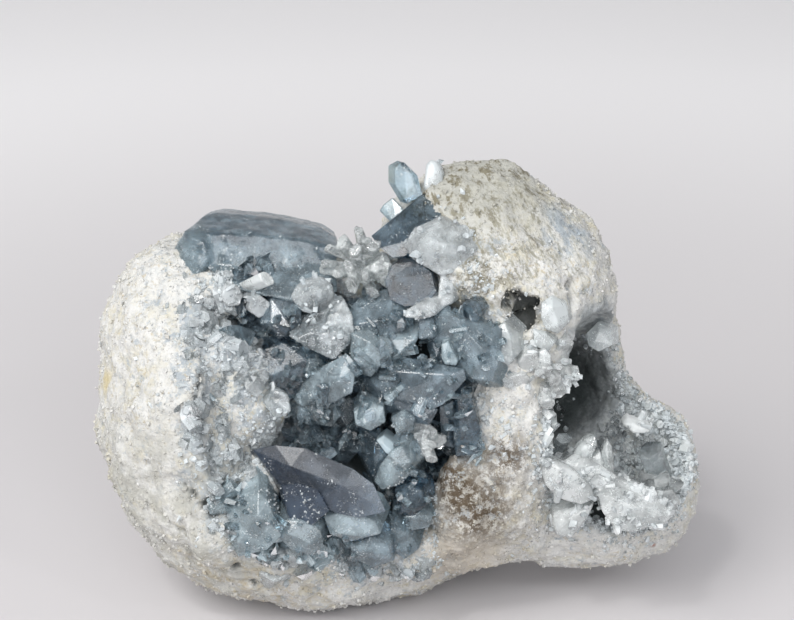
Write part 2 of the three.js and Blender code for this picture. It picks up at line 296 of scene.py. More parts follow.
class Finish:
    """A material with short names for the nodes that these finishes are made of."""

    def __init__(self, name):
        self.material = bpy.data.materials.new(name)
        self.material.use_nodes = True
        self.tree = self.material.node_tree
        self.shader = self.tree.nodes["Principled BSDF"]
        self.output = self.tree.nodes["Material Output"]
        self.place = self.add("ShaderNodeTexCoord").outputs["Object"]

    def add(self, kind, **settings):
        node = self.tree.nodes.new(kind)
        for name, value in settings.items():
            setattr(node, name, value)
        return node

    def feed(self, socket, value):
        if isinstance(value, bpy.types.NodeSocket):
            self.tree.links.new(value, socket)
        elif isinstance(value, tuple) and len(value) == 3 and socket.type == "RGBA":
            socket.default_value = (*value, 1)
        else:
            socket.default_value = value

    def scaled(self, place, scales):
        node = self.add("ShaderNodeVectorMath", operation="MULTIPLY")
        self.feed(node.inputs[0], place)
        node.inputs[1].default_value = scales
        return node.outputs[0]

    def turned(self, degrees):
        node = self.add("ShaderNodeMapping", vector_type="POINT")
        self.feed(node.inputs["Vector"], self.place)
        node.inputs["Rotation"].default_value = [math.radians(angle) for angle in degrees]
        return node.outputs["Vector"]

    def noise(self, size_mm, detail=4, rough=0.6, place=None, twist=0):
        node = self.add("ShaderNodeTexNoise")
        self.feed(node.inputs["Vector"], place or self.place)
        node.inputs["Scale"].default_value = 1 / (size_mm * MM)
        node.inputs["Detail"].default_value = detail
        node.inputs["Roughness"].default_value = rough
        node.inputs["Distortion"].default_value = twist
        return node.outputs["Fac"]

    def grains(self, size_mm, output="Distance"):
        node = self.add("ShaderNodeTexVoronoi", feature="F1")
        self.feed(node.inputs["Vector"], self.place)
        node.inputs["Scale"].default_value = 1 / (size_mm * MM)
        return node.outputs[output]

    def between(self, value, low, high, out_low=0.0, out_high=1.0):
        """The value, taken from the range low to high and spread smoothly from out_low to out_high."""
        node = self.add("ShaderNodeMapRange", interpolation_type="SMOOTHSTEP")
        self.feed(node.inputs["Value"], value)
        node.inputs["From Min"].default_value = low
        node.inputs["From Max"].default_value = high
        node.inputs["To Min"].default_value = out_low
        node.inputs["To Max"].default_value = out_high
        return node.outputs["Result"]

    def sum(self, a, b, operation="ADD", clamp=False):
        node = self.add("ShaderNodeMath", operation=operation, use_clamp=clamp)
        self.feed(node.inputs[0], a)
        self.feed(node.inputs[1], b)
        return node.outputs[0]

    def times(self, a, b):
        return self.sum(a, b, "MULTIPLY")

    def mix(self, share, a, b):
        node = self.add("ShaderNodeMix", data_type="RGBA")
        self.feed(node.inputs["Factor"], share)
        colours = [socket for socket in node.inputs if socket.type == "RGBA"]
        self.feed(colours[0], a)
        self.feed(colours[1], b)
        return [socket for socket in node.outputs if socket.type == "RGBA"][0]

    def near(self, centre, radius_mm, soft_mm):
        """One inside a ball on the nodule, falling to nothing outside it."""
        node = self.add("ShaderNodeVectorMath", operation="DISTANCE")
        self.feed(node.inputs[0], self.place)
        node.inputs[1].default_value = at(*centre)
        inner, outer = (radius_mm - soft_mm) * MM, (radius_mm + soft_mm) * MM
        return self.between(node.outputs["Value"], inner, outer, 1.0, 0.0)

    def painted(self, name):
        return self.add("ShaderNodeAttribute", attribute_name=name).outputs["Fac"]

    def bump(self, height, depth_mm, strength=1.0, onto=None):
        node = self.add("ShaderNodeBump")
        node.inputs["Distance"].default_value = depth_mm * MM
        node.inputs["Strength"].default_value = strength
        self.feed(node.inputs["Height"], height)
        if onto:
            self.feed(node.inputs["Normal"], onto)
        return node.outputs["Normal"]


def chalky_rock():
    """Off-white sugary rock with cream and tan specks, blue-grey patches, brown stains and painted shade."""
    rock = Finish("chalky_rock")
    white, cream, dull = (0.63, 0.625, 0.605), (0.565, 0.535, 0.44), (0.42, 0.435, 0.44)
    tan, brown, olive = (0.42, 0.34, 0.20), (0.10, 0.075, 0.05), (0.17, 0.15, 0.10)
    slate, dusk, yellow = (0.30, 0.345, 0.385), (0.10, 0.115, 0.13), (0.55, 0.44, 0.18)

    def speckle(share, spots, colour, tint):
        return rock.mix(rock.times(share, spots), colour, tint)

    near_rim = rock.painted("rim")
    fine = rock.noise(1.3, 5, 0.7)
    creamy = rock.between(rock.noise(3.4, 7, 0.72), 0.45, 0.60)
    colour = speckle(rock.between(rock.noise(15, 3), 0.36, 0.62, 0.25, 1.0), creamy, white, cream)
    colour = speckle(rock.between(fine, 0.47, 0.66), 0.6, colour, dull)
    mottle = rock.sum(rock.noise(5.5, 8, 0.78, twist=0.3), rock.times(near_rim, 0.10))
    colour = speckle(rock.between(mottle, 0.55, 0.66), 0.8, colour, slate)
    specks = rock.between(rock.noise(1.1, 4, 0.75), 0.55, 0.64)
    colour = speckle(rock.times(specks, 0.6), rock.between(rock.noise(11, 3), 0.44, 0.6), colour, tan)
    specks = rock.between(rock.noise(0.8, 2), 0.61, 0.68)
    colour = speckle(rock.times(specks, 0.7), rock.between(rock.noise(9, 3), 0.46, 0.6), colour, dusk)

    # Painted shade: the lower left lobe is darkened in patches
    painted_shade_patches = rock.between(rock.noise(7, 6, 0.75), 0.42, 0.60, 0.15, 0.85)
    colour = speckle(rock.near((-48, -26, 30), 26, 13), painted_shade_patches, colour, (0.40, 0.395, 0.36))
    blotch = rock.between(rock.noise(1.9, 7, 0.82), 0.45, 0.53)
    stained = rock.sum(rock.near((18, -29, 33), 7, 5), rock.near((24, -28.5, 46), 5, 5), clamp=True)
    stained = rock.sum(stained, rock.near((11, -27, 41), 5.5, 4), clamp=True)
    tinted = rock.between(rock.noise(2.8, 7, 0.8), 0.42, 0.58, 0.15, 0.9)
    colour = speckle(rock.near((17, -27, 33), 14, 8), tinted, colour, (0.31, 0.285, 0.245))
    colour = speckle(stained, blotch, colour, brown)
    dirty = rock.near((-34, -26, 14), 17, 8)
    colour = speckle(rock.times(dirty, 0.45), rock.between(rock.noise(3, 5, 0.7), 0.47, 0.6), colour, tan)
    colour = speckle(rock.near((13, -21, 20), 11, 5), 0.6, colour, (0.50, 0.44, 0.36))

    crown = rock.near((20, -4, 106), 17, 7)
    colour = speckle(crown, 0.75, colour, (0.38, 0.375, 0.33))
    run = rock.scaled(rock.turned((0, 30, 0)), (1.0, 0.5, 0.3))
    streaks = rock.between(rock.noise(0.9, 5, 0.75, run), 0.50, 0.60)
    spots = rock.between(rock.noise(1.8, 6, 0.78, run), 0.51, 0.60)
    colour = speckle(rock.near((20, -4, 103), 21, 7), spots, colour, olive)
    colour = speckle(rock.times(rock.near((26, -14, 90), 18, 7), 0.8), streaks, colour, (0.31, 0.30, 0.245))
    olive_patch = rock.between(rock.noise(2.2, 6, 0.78), 0.46, 0.56)
    colour = speckle(rock.times(rock.near((18, -21.5, 85), 7, 4), 0.8), olive_patch, colour, olive)
    band = rock.near((38, -8, 92), 7, 4)
    colour = speckle(band, rock.between(rock.noise(3, 5, 0.75, run), 0.45, 0.58, 0.1, 0.8), colour, slate)
    colour = speckle(rock.near((-65.5, -12, 58), 2.4, 1.8), 0.6, colour, yellow)
    colour = speckle(rock.near((59.8, -11.5, 17), 0.6, 0.4), 0.7, colour, (0.30, 0.10, 0.05))

    # The hollows' walls: blue-grey like their crystal lining, with darker patches that are painted shade
    hollow = rock.painted("hollow")
    dark_wall_in_shade, pale_wall = (0.16, 0.185, 0.20), (0.44, 0.47, 0.485)
    walls = rock.mix(rock.between(rock.noise(2.5, 5, 0.7), 0.4, 0.62), dark_wall_in_shade, pale_wall)
    colour = rock.mix(hollow, colour, walls)
    # Painted shade: deep gaps near-black, pockets nearly so, creases a little darker
    colour = rock.mix(rock.painted("gap"), colour, (0.03, 0.037, 0.037))
    rock.feed(rock.shader.inputs["Base Color"], colour)

    grain = rock.bump(rock.grains(0.8), 0.22, 0.55)
    grain = rock.bump(fine, 0.55, 0.7, grain)
    rock.feed(rock.shader.inputs["Normal"], grain)
    rock.feed(rock.shader.inputs["Roughness"], rock.between(rock.grains(0.8, "Color"), 0.78, 0.82, 0.9, 0.3))
    rock.shader.inputs["Specular IOR Level"].default_value = 0.4
    return rock.material


def crystal_finish(name, pale, deep, veil, absorbs, density, milk_floor, milk_reach, rough, grown):
    """See-through crystal with soft veils, growth lines along its length and fine steps on its faces."""
    stone = Finish(name)
    along = stone.add("ShaderNodeUVMap").outputs["UV"]
    clouds = stone.between(stone.noise(6, 6, 0.7, twist=0.3), 0.38, 0.72)
    threads = stone.between(stone.noise(0.8, 5, 0.7, stone.scaled(along, (1.0, 0.16, 1.0))), 0.46, 0.72)
    flecks = stone.between(stone.noise(0.5, 4, 0.75), 0.55, 0.66)
    flecks = stone.times(flecks, stone.between(stone.noise(3.5, 4, 0.7), 0.50, 0.62))
    milk = stone.sum(stone.times(clouds, 0.6), stone.times(threads, 0.5 * grown), clamp=True)
    milk = stone.sum(stone.times(milk, milk_reach), stone.times(stone.painted("milk"), 0.6), clamp=True)
    milk = stone.sum(milk, milk_floor, clamp=True)
    toned = stone.times(stone.painted("tone"), 0.67)
    base = stone.mix(toned, pale, deep)
    veiled = stone.mix(stone.times(toned, 0.6), veil, deep)
    colour = stone.mix(flecks, stone.mix(milk, base, veiled), (0.78, 0.80, 0.80))
    milk = stone.sum(milk, stone.times(flecks, 0.7), clamp=True)
    stone.feed(stone.shader.inputs["Base Color"], colour)
    stone.feed(stone.shader.inputs["Transmission Weight"], stone.between(milk, 0, 1, 1.0, 0.1))
    stone.feed(stone.shader.inputs["Roughness"], stone.between(milk, 0.1, 1, rough, 0.45))
    stone.shader.inputs["IOR"].default_value = 1.62
    lines = stone.noise(0.45, 3, 0.6, stone.scaled(along, (1.0, 0.06, 1.0)))
    steps = stone.sum(stone.noise(2.6, 3, 0.6, twist=0.5), 0.1, "SNAP")
    surface = stone.bump(lines, 0.12, 0.4 * grown)
    surface = stone.bump(steps, 0.4, 0.4, surface)
    surface = stone.bump(flecks, 0.15, 0.5, surface)
    stone.feed(stone.shader.inputs["Normal"], surface)
    depth = stone.add("ShaderNodeVolumeAbsorption")
    depth.inputs["Color"].default_value = (*absorbs, 1)
    depth.inputs["Density"].default_value = density
    stone.feed(stone.output.inputs["Volume"], depth.outputs["Volume"])
    return stone.material


# The nodule

# The two hollows, as ellipsoids that melt into each other: middles and radii in millimetres.
HOLLOW_BLEND = 3
FRONT_HOLLOW = [
    ((-16, -42, 56), (28, 25, 34)),
    ((0, -36, 50), (18, 24, 34)),
    ((-22, -26, 78), (22, 19, 14)),
    ((2, -28, 78), (15, 16, 18)),
]
SIDE_HOLLOW = [
    ((54, -17, 46), (21, 21, 22)),
    ((42, -6, 51), (10, 18, 15)),
    ((47, -14, 62), (8, 13, 14)),
]
# Lumps of sugary crust that swell over the front hollow's rim: middles and radii.
CRUST_LUMPS = [
    ((-30, -27, 41), (6.5, 5.5, 5.5)),
    ((-34, -22, 57), (9.5, 8, 13)),
    ((-40, -21, 67), (7, 8, 8)),
    ((-39, -14, 79), (6, 7, 5)),
    ((-41, -24, 48), (8, 8, 14)),
    ((4, -24, 22), (7.5, 7, 6)),
    ((15, -24, 33), (7, 6.5, 12)),
    ((15, -17, 84), (7, 6, 6)),
    ((-8.5, -5, 80), (8, 6, 4.5)),
    ((14, -10, 93), (6, 5, 6)),
    ((-40, -32, 29), (7, 5, 8)),
]
# Small pockets pressed into the rock and painted dark as shade: place and radius in millimetres.
POCKETS = [
    ((-41.8, -32.9, 66.6), 1.8),
    ((-43.7, -33.8, 64.0), 1.5),
    ((-46.9, -33.5, 41.2), 1.0),
    ((-44.9, -34.8, 40.1), 1.4),
    ((-41.8, -35.4, 38.1), 1.3),
    ((-40.1, -35.7, 36.3), 1.5),
    ((-36.9, -35.3, 36.8), 1.2),
    ((-42.3, -34.5, 31.7), 1.2),
    ((-43.2, -30.8, 23.6), 1.5),
    ((-35.8, -32.0, 21.3), 1.1),
    ((-31.9, -29.3, 16.0), 1.2),
    ((-31.2, -27.5, 53.1), 1.6),
    ((25.5, -22.5, 80.3), 2.6),
    ((28.5, -22.0, 77.8), 3.4),
    ((27.0, -22.5, 75.5), 2.6),
]
# Creases that run over the rock, pressed in and painted a little darker as shade: their points, width and
# depth.
CREASES = [
    ([(-45.3, -33.9, 61.9), (-42.6, -34.9, 61.4), (-41.3, -32.3, 56.4)], 1.0, 1.6),
    ([
        (-44.6, -34.3, 55.2), (-42.5, -34.2, 55.6), (-40.2, -32, 52.6), (-40.3, -31.9, 49.8),
        (-42.1, -33.9, 49.6),
    ], 0.8, 1.2),
    ([(38.5, -16.4, 82.6), (38.8, -17.5, 79.0), (38.3, -18.7, 74.7), (37.8, -19.4, 69.2)], 1.1, 3.5),
    ([(-62, -20, 60), (-58, -25, 52), (-55, -28, 45)], 1.2, 1.0),
    ([(-52, -30, 33), (-47, -32, 30), (-44, -34, 33)], 1.0, 1.2),
]
# The deep places between the crystals, painted near-black as shade: place and radius.
GAPS = [
    ((38, 4, 50), 13),
    ((47, -13, 27), 5),
    ((6.5, -10, 65), 6),
    ((-7, -16, 42), 6),
    ((11, -14, 55), 4.5),
]
# The rock's relief: kind of pattern, size of its lumps, how far it pushes and how many layers it has.
ROCK_VOXEL = 0.79
ROCK_RELIEF = {
    "lumps": ("CLOUDS", 9, 2.8, 2),
    "knobs": ("CLOUDS", 3.6, 1.5, 2),
    "crumbs": ("VORONOI", 1.5, -0.6, 1),
}
# How far the rock is pressed down under the ledge
LEDGE_SEAT = 5.0


def along_line(points, line):
    """How far each point is from a line of short straight stretches."""
    nearest = np.full(len(points), np.inf)
    for start, end in zip(line, line[1:]):
        start, way = np.array(start), np.array(end) - np.array(start)
        share = np.clip((points - start) @ way / (way @ way), 0, 1)
        nearest = np.minimum(nearest, np.linalg.norm(points - start - share[:, None] * way, axis=1))
    return nearest


def model_rind():
    rind = copy_of_node("rind", "nodule")
    parts = [rind]
    for place, radii in CRUST_LUMPS:
        deselect()
        bpy.ops.mesh.primitive_ico_sphere_add(subdivisions=3, radius=1)
        lump = bpy.context.object
        lump.data.transform(Matrix.Translation(at(*place)) @ Matrix.Diagonal((*[r * MM for r in radii], 1)))
        parts.append(lump)
    rind = join(parts, "nodule")
    apply_modifier(rind, "REMESH", mode="VOXEL", voxel_size=ROCK_VOXEL * MM)
    for name, relief in ROCK_RELIEF.items():
        roughen(rind, name, *relief)
    corners, normals = corners_of(rind), normals_of(rind)
    crust = distance_to(corners, CRUST_LUMPS, 1)
    uneven = 1.5 * noise_at(corners, 4, 3)
    # The hollows' walls are painted their blue-grey lining, partly darkened as painted shade
    hollow = np.zeros(len(corners))
    for lobes, dark in ((FRONT_HOLLOW, 1.0), (SIDE_HOLLOW, 0.75)):
        inside = 1 - smooth(distance_to(corners, lobes, HOLLOW_BLEND) + uneven, 0.5, 3.0)
        hollow = np.maximum(hollow, dark * inside)
    hollow *= smooth(corners[:, 0] + 2 * uneven, -44, -34) * 0.7 + 0.3
    paint(rind, "hollow", hollow * smooth(crust + uneven, 0.8, 2.5))
    paint(rind, "rim", 1 - smooth(distance_to(corners, FRONT_HOLLOW, HOLLOW_BLEND), 1, 13))
    # Painted shade for the deep gaps, pockets and creases
    gap = np.zeros(len(corners))
    for place, radius in GAPS:
        gap = np.maximum(gap, 1 - smooth(away_from(corners, place), 0.7 * radius, 1.2 * radius))
    ragged = 1 + 0.35 * noise_at(corners, 1.5, 2)
    moved = corners.copy()
    for place, radius in POCKETS:
        away = away_from(corners, place) * ragged
        gap = np.maximum(gap, 0.9 * (1 - smooth(away, 0.6 * radius, 1.2 * radius)))
        moved -= normals * (1.4 * radius * (1 - smooth(away, 0.3 * radius, 1.2 * radius)))[:, None]
    for line, width, depth in CREASES:
        away = along_line(corners, line) * ragged
        gap = np.maximum(gap, 0.35 * (1 - smooth(away, 0.2 * width, width)))
        moved -= normals * (depth * (1 - smooth(away, 0, 1.6 * width)))[:, None]
    paint(rind, "gap", gap)
    corners = moved
    under_ledge = np.exp(-((corners[:, 0] + 30) / 20) ** 4 - ((corners[:, 1] - 2) / 18) ** 4)
    corners[:, 2] -= LEDGE_SEAT * under_ledge * smooth(corners[:, 2], 80, 88)
    corners[:, 2] = np.maximum(corners[:, 2], 0)
    rind.data.vertices.foreach_set("co", (corners * MM + np.array(NODULE_ORIGIN)).ravel())
    rind.data.update()
    only(rind)
    bpy.ops.object.shade_smooth()
    rind.data.materials.append(chalky_rock())
    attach(rind, "root")
    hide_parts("rind")
    return rind


# Large crystals: root, tip, [width, thickness, length of the point] in millimetres, roll in degrees,
# milkiness, and how deep their colour is

FRONT_CRYSTALS = {
    "deep_blue_side": ((-30, -20, 40), (-10, -34, 34), (9, 8, 8), 60, 0.0, 1.0),
    "leaning_neighbour": ((-25, -14, 62), (-15, -28, 66), (7, 5, 4), 10, 0.25, 0.2),
    "dark_trough": ((-38.9, -13, 77.9), (-29, -21, 77.0), (8, 6, 4), 60, 0.0, 1.0),
    "left_block": ((18, -12, 72), (12, -26, 69), (8, 6, 4), 25, 0.1, 0.5),
    "middle_deep": ((-13, -10, 47.8), (-7.5, -26, 56.5), (9, 8, 5), 30, 0.1, 0.6),
    "low_deep": ((-15.2, -14, 37.9), (-9.0, -25, 50.5), (7, 6, 4), 15, 0.0, 0.8),
    "knot_left": ((-18, -16, 56), (-14.5, -32, 56.5), (6, 5.5, 3), 10, 0.2, 0.3),
    "foot_dark": ((8, -12, 20), (1, -29, 36), (8, 6, 5), 0, 0.0, 0.9),
    "foot_middle": ((-12, -15, 18), (-9, -34, 27), (8, 7, 5), 30, 0.2, 0.5),
    "rim_dark": ((-43, -20, 69), (-31, -26, 74), (7, 5, 4), 10, 0.1, 0.6),
}
# Frosted crystals of the front hollow that have grown together
FROSTED_CRYSTALS = {
    "lump_left": ((-39, -14, 80), (-35, -23, 81.5), (6, 5, 2), 10, 0.5, 0.0),
    "lump_right": ((-34, -13, 78.5), (-29, -23, 78.5), (6, 5, 2), 50, 0.45, 0.1),
    "foot_far_left": ((-42.8, -26, 34.1), (-35, -36.5, 33), (11, 9, 6), 15, 0.4, 0.1),
    "foot_low": ((-30, -21, 12), (-25.5, -34, 24), (9, 7, 5), 40, 0.35, 0.1),
    "rim_frosted": ((-41, -23, 60), (-32, -29, 62), (8, 5, 4), 70, 0.4, 0.2),
}
# The fused crystals of the side hollow's lip, and the blunt fringe that hangs from the pillar
LIP_CRYSTALS = {
    "lip_end": ((58, -8, 32), (62.5, -22, 30.0), (8, 7, 4), 60, 0.35, 0.1),
    "fringe_a": ((34.5, -16, 69.5), (39.0, -25, 61.4), (3.6, 3.2, 1.6), 0, 0.25, 0.0),
    "fringe_b": ((33.5, -17, 67.0), (36.1, -27, 59.2), (3.6, 3.2, 1.6), 30, 0.25, 0.0),
    "fringe_c": ((31.5, -18, 65.0), (33.2, -28, 56.6), (3.8, 3.4, 1.8), 60, 0.25, 0.0),
    "fringe_d": ((31.0, -19, 68.7), (35.2, -28, 62.5), (3.6, 3.2, 1.5), 20, 0.3, 0.0),
    "fringe_e": ((29.6, -20, 69.7), (32.7, -29, 65.0), (4, 3.5, 1.5), 0, 0.4, 0.0),
    "fringe_f": ((27.9, -19, 70), (28.9, -28.5, 66.8), (6, 5, 2), 40, 0.5, 0.0),
    "fringe_g": ((26.0, -19, 66), (26.5, -28.0, 62.0), (6, 5, 2), 10, 0.5, 0.0),
    "fringe_h": ((34.5, -14, 72.3), (37.8, -22, 68.5), (4.5, 4, 2), 25, 0.3, 0.0),
    "fringe_i": ((33, -15, 76.3), (35.8, -22, 75.0), (5, 4, 2), 25, 0.35, 0.1),
}
SIDE_CRYSTALS = {
    "behind_left": ((36, -9, 38), (38.5, -16, 47.0), (4, 3, 2.5), 20, 0.1, 0.4),
    "bowl_blue": ((62.5, -6, 30), (57.2, -13, 43.6), (6.5, 4.5, 3), 20, 0.1, 0.5),
    "bowl_clear": ((59.5, -12, 28), (60.6, -20, 39.4), (5.0, 3.5, 4), 50, 0.2, 0.0),
    "bowl_left": ((60.5, -12, 28), (56.2, -20, 37.0), (4.2, 3.2, 3), 20, 0.2, 0.0),
    "bowl_small": ((62.5, -9, 29), (64.0, -17, 36.0), (4.5, 3.5, 3), 10, 0.3, 0.1),
    "blade_high": ((32.4, -17, 53.5), (33.6, -24, 56.0), (3.4, 2.4, 2.0), 0, 0.05, 0.6),
}

# Large broken crystals: the corners of the faces that look out, the way back to the smaller corners behind
# them, how much smaller those are, milkiness, and how deep their colour is. Corners are picked on the photo
# with a depth, or given as places in millimetres.

FRONT_BROKEN = {
    # Partly painted shade: this slab's deep blue stands in part for the shade in its recess
    "left_dark_slab": (seen(
        (252, 372, -22), (262, 352, -22), (285, 345, -22), (322, 348, -20), (330, 356, -22), (300, 386, -26),
        (288, 401, -27), (268, 396, -26),
    ), (-2, 12, 2), 0.8, 0.1, 1.0),
    "leaning_prism": (seen(
        (345, 356, -29), (354, 366, -31), (350, 392, -32), (333, 401, -31), (305, 404, -30), (297, 398, -28),
        (308, 382, -28), (326, 366, -28),
    ), (-4, 12, -6), 0.8, 0.3, 0.3),
    "leaning_low": (seen(
        (300, 402, -28), (318, 404, -30), (330, 412, -31), (322, 424, -30), (304, 420, -28), (296, 410, -27),
    ), (-3, 10, -3), 0.8, 0.3, 0.4),
    "middle_block": (seen(
        (353, 335, -27), (369, 332, -27), (389, 341, -28), (392, 352, -29), (381, 363, -30), (371, 375, -29),
        (360, 372, -28), (352, 360, -28),
    ), (-2, 12, -2), 0.8, 0.4, 0.1),
    "upper_teal": (seen(
        (345, 318, -21), (360, 300, -19), (385, 291, -19), (406, 300, -21), (405, 318, -23), (402, 330, -25),
        (380, 336, -25), (355, 334, -24),
    ), (2, 12, -4), 0.85, 0.35, 0.6),
    "shard_left": (seen(
        (392, 341, -26), (418, 328, -25), (418, 337, -26), (413, 347, -27), (399, 358, -28), (386, 362, -28),
    ), (-2, 9, 4), 0.8, 0.4, 0.2),
    "shard_low": (seen(
        (370, 341, -27), (391, 342, -28), (391, 349, -29), (384, 362, -30), (372, 373, -30), (362, 366, -28),
    ), (-3, 10, 0), 0.8, 0.3, 0.5),
    "grey_point": (seen(
        (386, 362, -26), (404, 358.5, -27), (422, 363, -28), (442, 368, -30), (460, 370.5, -31.5),
        (462, 380, -32.5), (441, 403, -33), (432, 407, -33), (418, 402, -33), (392, 396, -32),
        (379, 386, -30), (374, 378, -28),
    ), (-6, 12, -3), 0.85, 0.3, 0.75),
    "grey_under": (seen(
        (392, 398, -30), (420, 404, -31), (436, 410, -31), (428, 424, -30), (405, 420, -29), (388, 410, -28),
    ), (-3, 10, 0), 0.8, 0.2, 0.9),
    "block_high": (seen(
        (419.5, 318, -26), (433, 318, -26), (434, 329, -26.5), (437, 335, -27), (433, 339, -27),
        (420, 338.5, -27),
    ), (0, 9, -2), 0.9, 0.25, 0.7),
    "block_round": (seen(
        (428.5, 342, -24), (436, 340, -24.5), (443, 341, -25), (443, 359, -26), (438, 361, -25.5),
        (431, 356, -25), (428, 349, -24),
    ), (0, 9, 0), 0.9, 0.2, 0.9),
    "right_face": (seen(
        (434, 316, -24), (447, 312, -24), (470, 318, -25), (496, 330, -27), (495, 360, -29),
        (489, 378, -29.5), (471, 376, -29.5), (460, 369, -28), (451, 351, -27), (442, 342, -26),
        (435, 340, -25), (456, 334, -28),
    ), (4, 9, -4), 0.9, 0.4, 0.5),
    "pale_sliver": (seen(
        (442, 345, -29), (448, 343, -29), (457, 361, -30), (455, 365, -30), (445, 364, -30),
        (442, 358, -29.5),
    ), (1, 5, 0), 0.8, 0.7, 0.0),
    "pillar_prism": (seen(
        (455, 390, -26), (461, 380, -26), (469, 392, -28), (472, 407, -28.5), (479, 428, -29),
        (477, 450, -28.5), (457, 453, -28), (454, 424, -27),
    ), (0, 8, 0), 0.9, 0.1, 0.95),
    "pillar_shade": (seen(
        (440, 408, -24), (452, 400, -23), (455, 424, -24), (454, 446, -25), (442, 444, -25),
    ), (0, 8, 0), 0.9, 0.0, 1.0),
    "moon": (seen(
        (376, 480, -33), (381, 466, -33.5), (391, 453, -34), (401, 447, -33), (413, 455, -32.5),
        (416, 463, -32.5), (409, 474, -33.5), (398, 483, -34), (383, 488, -34), (396, 466, -35.5),
    ), (3, 9, 0), 0.8, 0.35, 0.0),
    # Painted highlight: this face is made milky white where a glint shines on it
    "painted_glint_face": (seen(
        (377, 441, -31.5), (384, 436, -31), (400, 449, -32), (396, 457, -33), (386, 453, -33),
    ), (1, 5, -1), 0.9, 0.9, 0.0),
    "teal_prism": (seen(
        (366, 432, -27), (380, 437, -28), (389, 450, -29), (381, 466, -30), (375, 480, -31), (366, 462, -29),
    ), (-2, 9, 0), 0.85, 0.15, 0.8),
    "dark_knot": (seen(
        (396, 490, -31), (405, 485, -31), (420, 491, -31.5), (425, 505, -32), (413, 515, -32.5),
        (398, 513, -32),
    ), (2, 8, 0), 0.8, 0.1, 1.0),
    "edge_knot": (seen(
        (404, 517, -32), (418, 512, -32), (431, 517, -31), (428, 527, -31.5), (412, 530, -32),
    ), (1, 7, 0), 0.8, 0.35, 0.3),
    "foot_left": (seen(
        (230, 512, -36), (258, 495, -38), (266, 504, -39), (275, 523, -39.5), (279, 535, -39),
        (266, 548, -38), (240, 554, -36), (228, 535, -35.5), (254, 524, -40),
    ), (-1, 9, 2), 0.85, 0.45, 0.0),
    "foot_blue": (seen(
        (281, 521, -37.5), (300, 522, -38.5), (319, 531, -39), (321, 542, -39), (313, 554, -37.5),
        (293, 550, -37.5), (280, 537, -37.5),
    ), (1, 9, 2), 0.85, 0.3, 0.2),
    "foot_streaked": (seen(
        (326, 518, -37), (350, 512, -38), (372, 522, -37.5), (378, 533, -37), (352, 540, -37),
        (332, 534, -37),
    ), (1, 8, 3), 0.85, 0.45, 0.1),
    "foot_right": (seen(
        (352, 545, -35.5), (370, 538, -36), (390, 544, -35), (392, 560, -34), (372, 566, -34),
        (354, 558, -35),
    ), (1, 8, 3), 0.85, 0.3, 0.4),
    "foot_far": (seen(
        (392, 530, -33), (408, 534, -33), (418, 548, -32), (404, 558, -32), (390, 548, -33),
    ), (1, 8, 3), 0.85, 0.3, 0.5),
    "trough_slab": (seen(
        (272, 300, -20), (300, 306, -21), (300, 330, -23), (280, 338, -23), (262, 322, -21),
    ), (-2, 10, -2), 0.9, 0.1, 0.9),
    "knot_white": (seen(
        (355, 412, -30), (368, 402, -30), (382, 408, -31), (384, 422, -32), (370, 430, -32), (357, 424, -31),
    ), (0, 8, 0), 0.8, 0.45, 0.0),
    "knot_clear": (seen(
        (392, 418, -31), (404, 410, -31), (414, 418, -31.5), (412, 432, -32), (398, 436, -32),
    ), (1, 8, 0), 0.8, 0.25, 0.2),
}
BLADE_BROKEN = {
    "deep_blue_blade": ([
        (-31.5, -30, 48.6), (-26.5, -31.5, 50.3), (-20, -33, 50.2), (-13.2, -35, 47.8), (-9.5, -36, 46.6),
        (-5, -37.5, 43.6), (-2.4, -39, 37.9), (-8, -39.2, 36.5), (-13.2, -39, 37.6), (-18.1, -38, 40.6),
        (-24.3, -36, 41.6), (-27.5, -33.5, 44.5), (-23, -35.2, 46.8), (-11.5, -38.2, 43.5),
    ], (-4, 12, -6), 0.95, 0.1, 1.5),
    "deep_blue_flakes": ([
        (-25.1, -36.5, 42.9), (-20.9, -38, 43.9), (-17, -39, 42.9), (-14.6, -39.5, 38.3),
        (-18.7, -38.5, 34.0), (-23.4, -37.5, 35.0),
    ], (-2, 9, -2), 1.05, 0.3, 1.4),
}
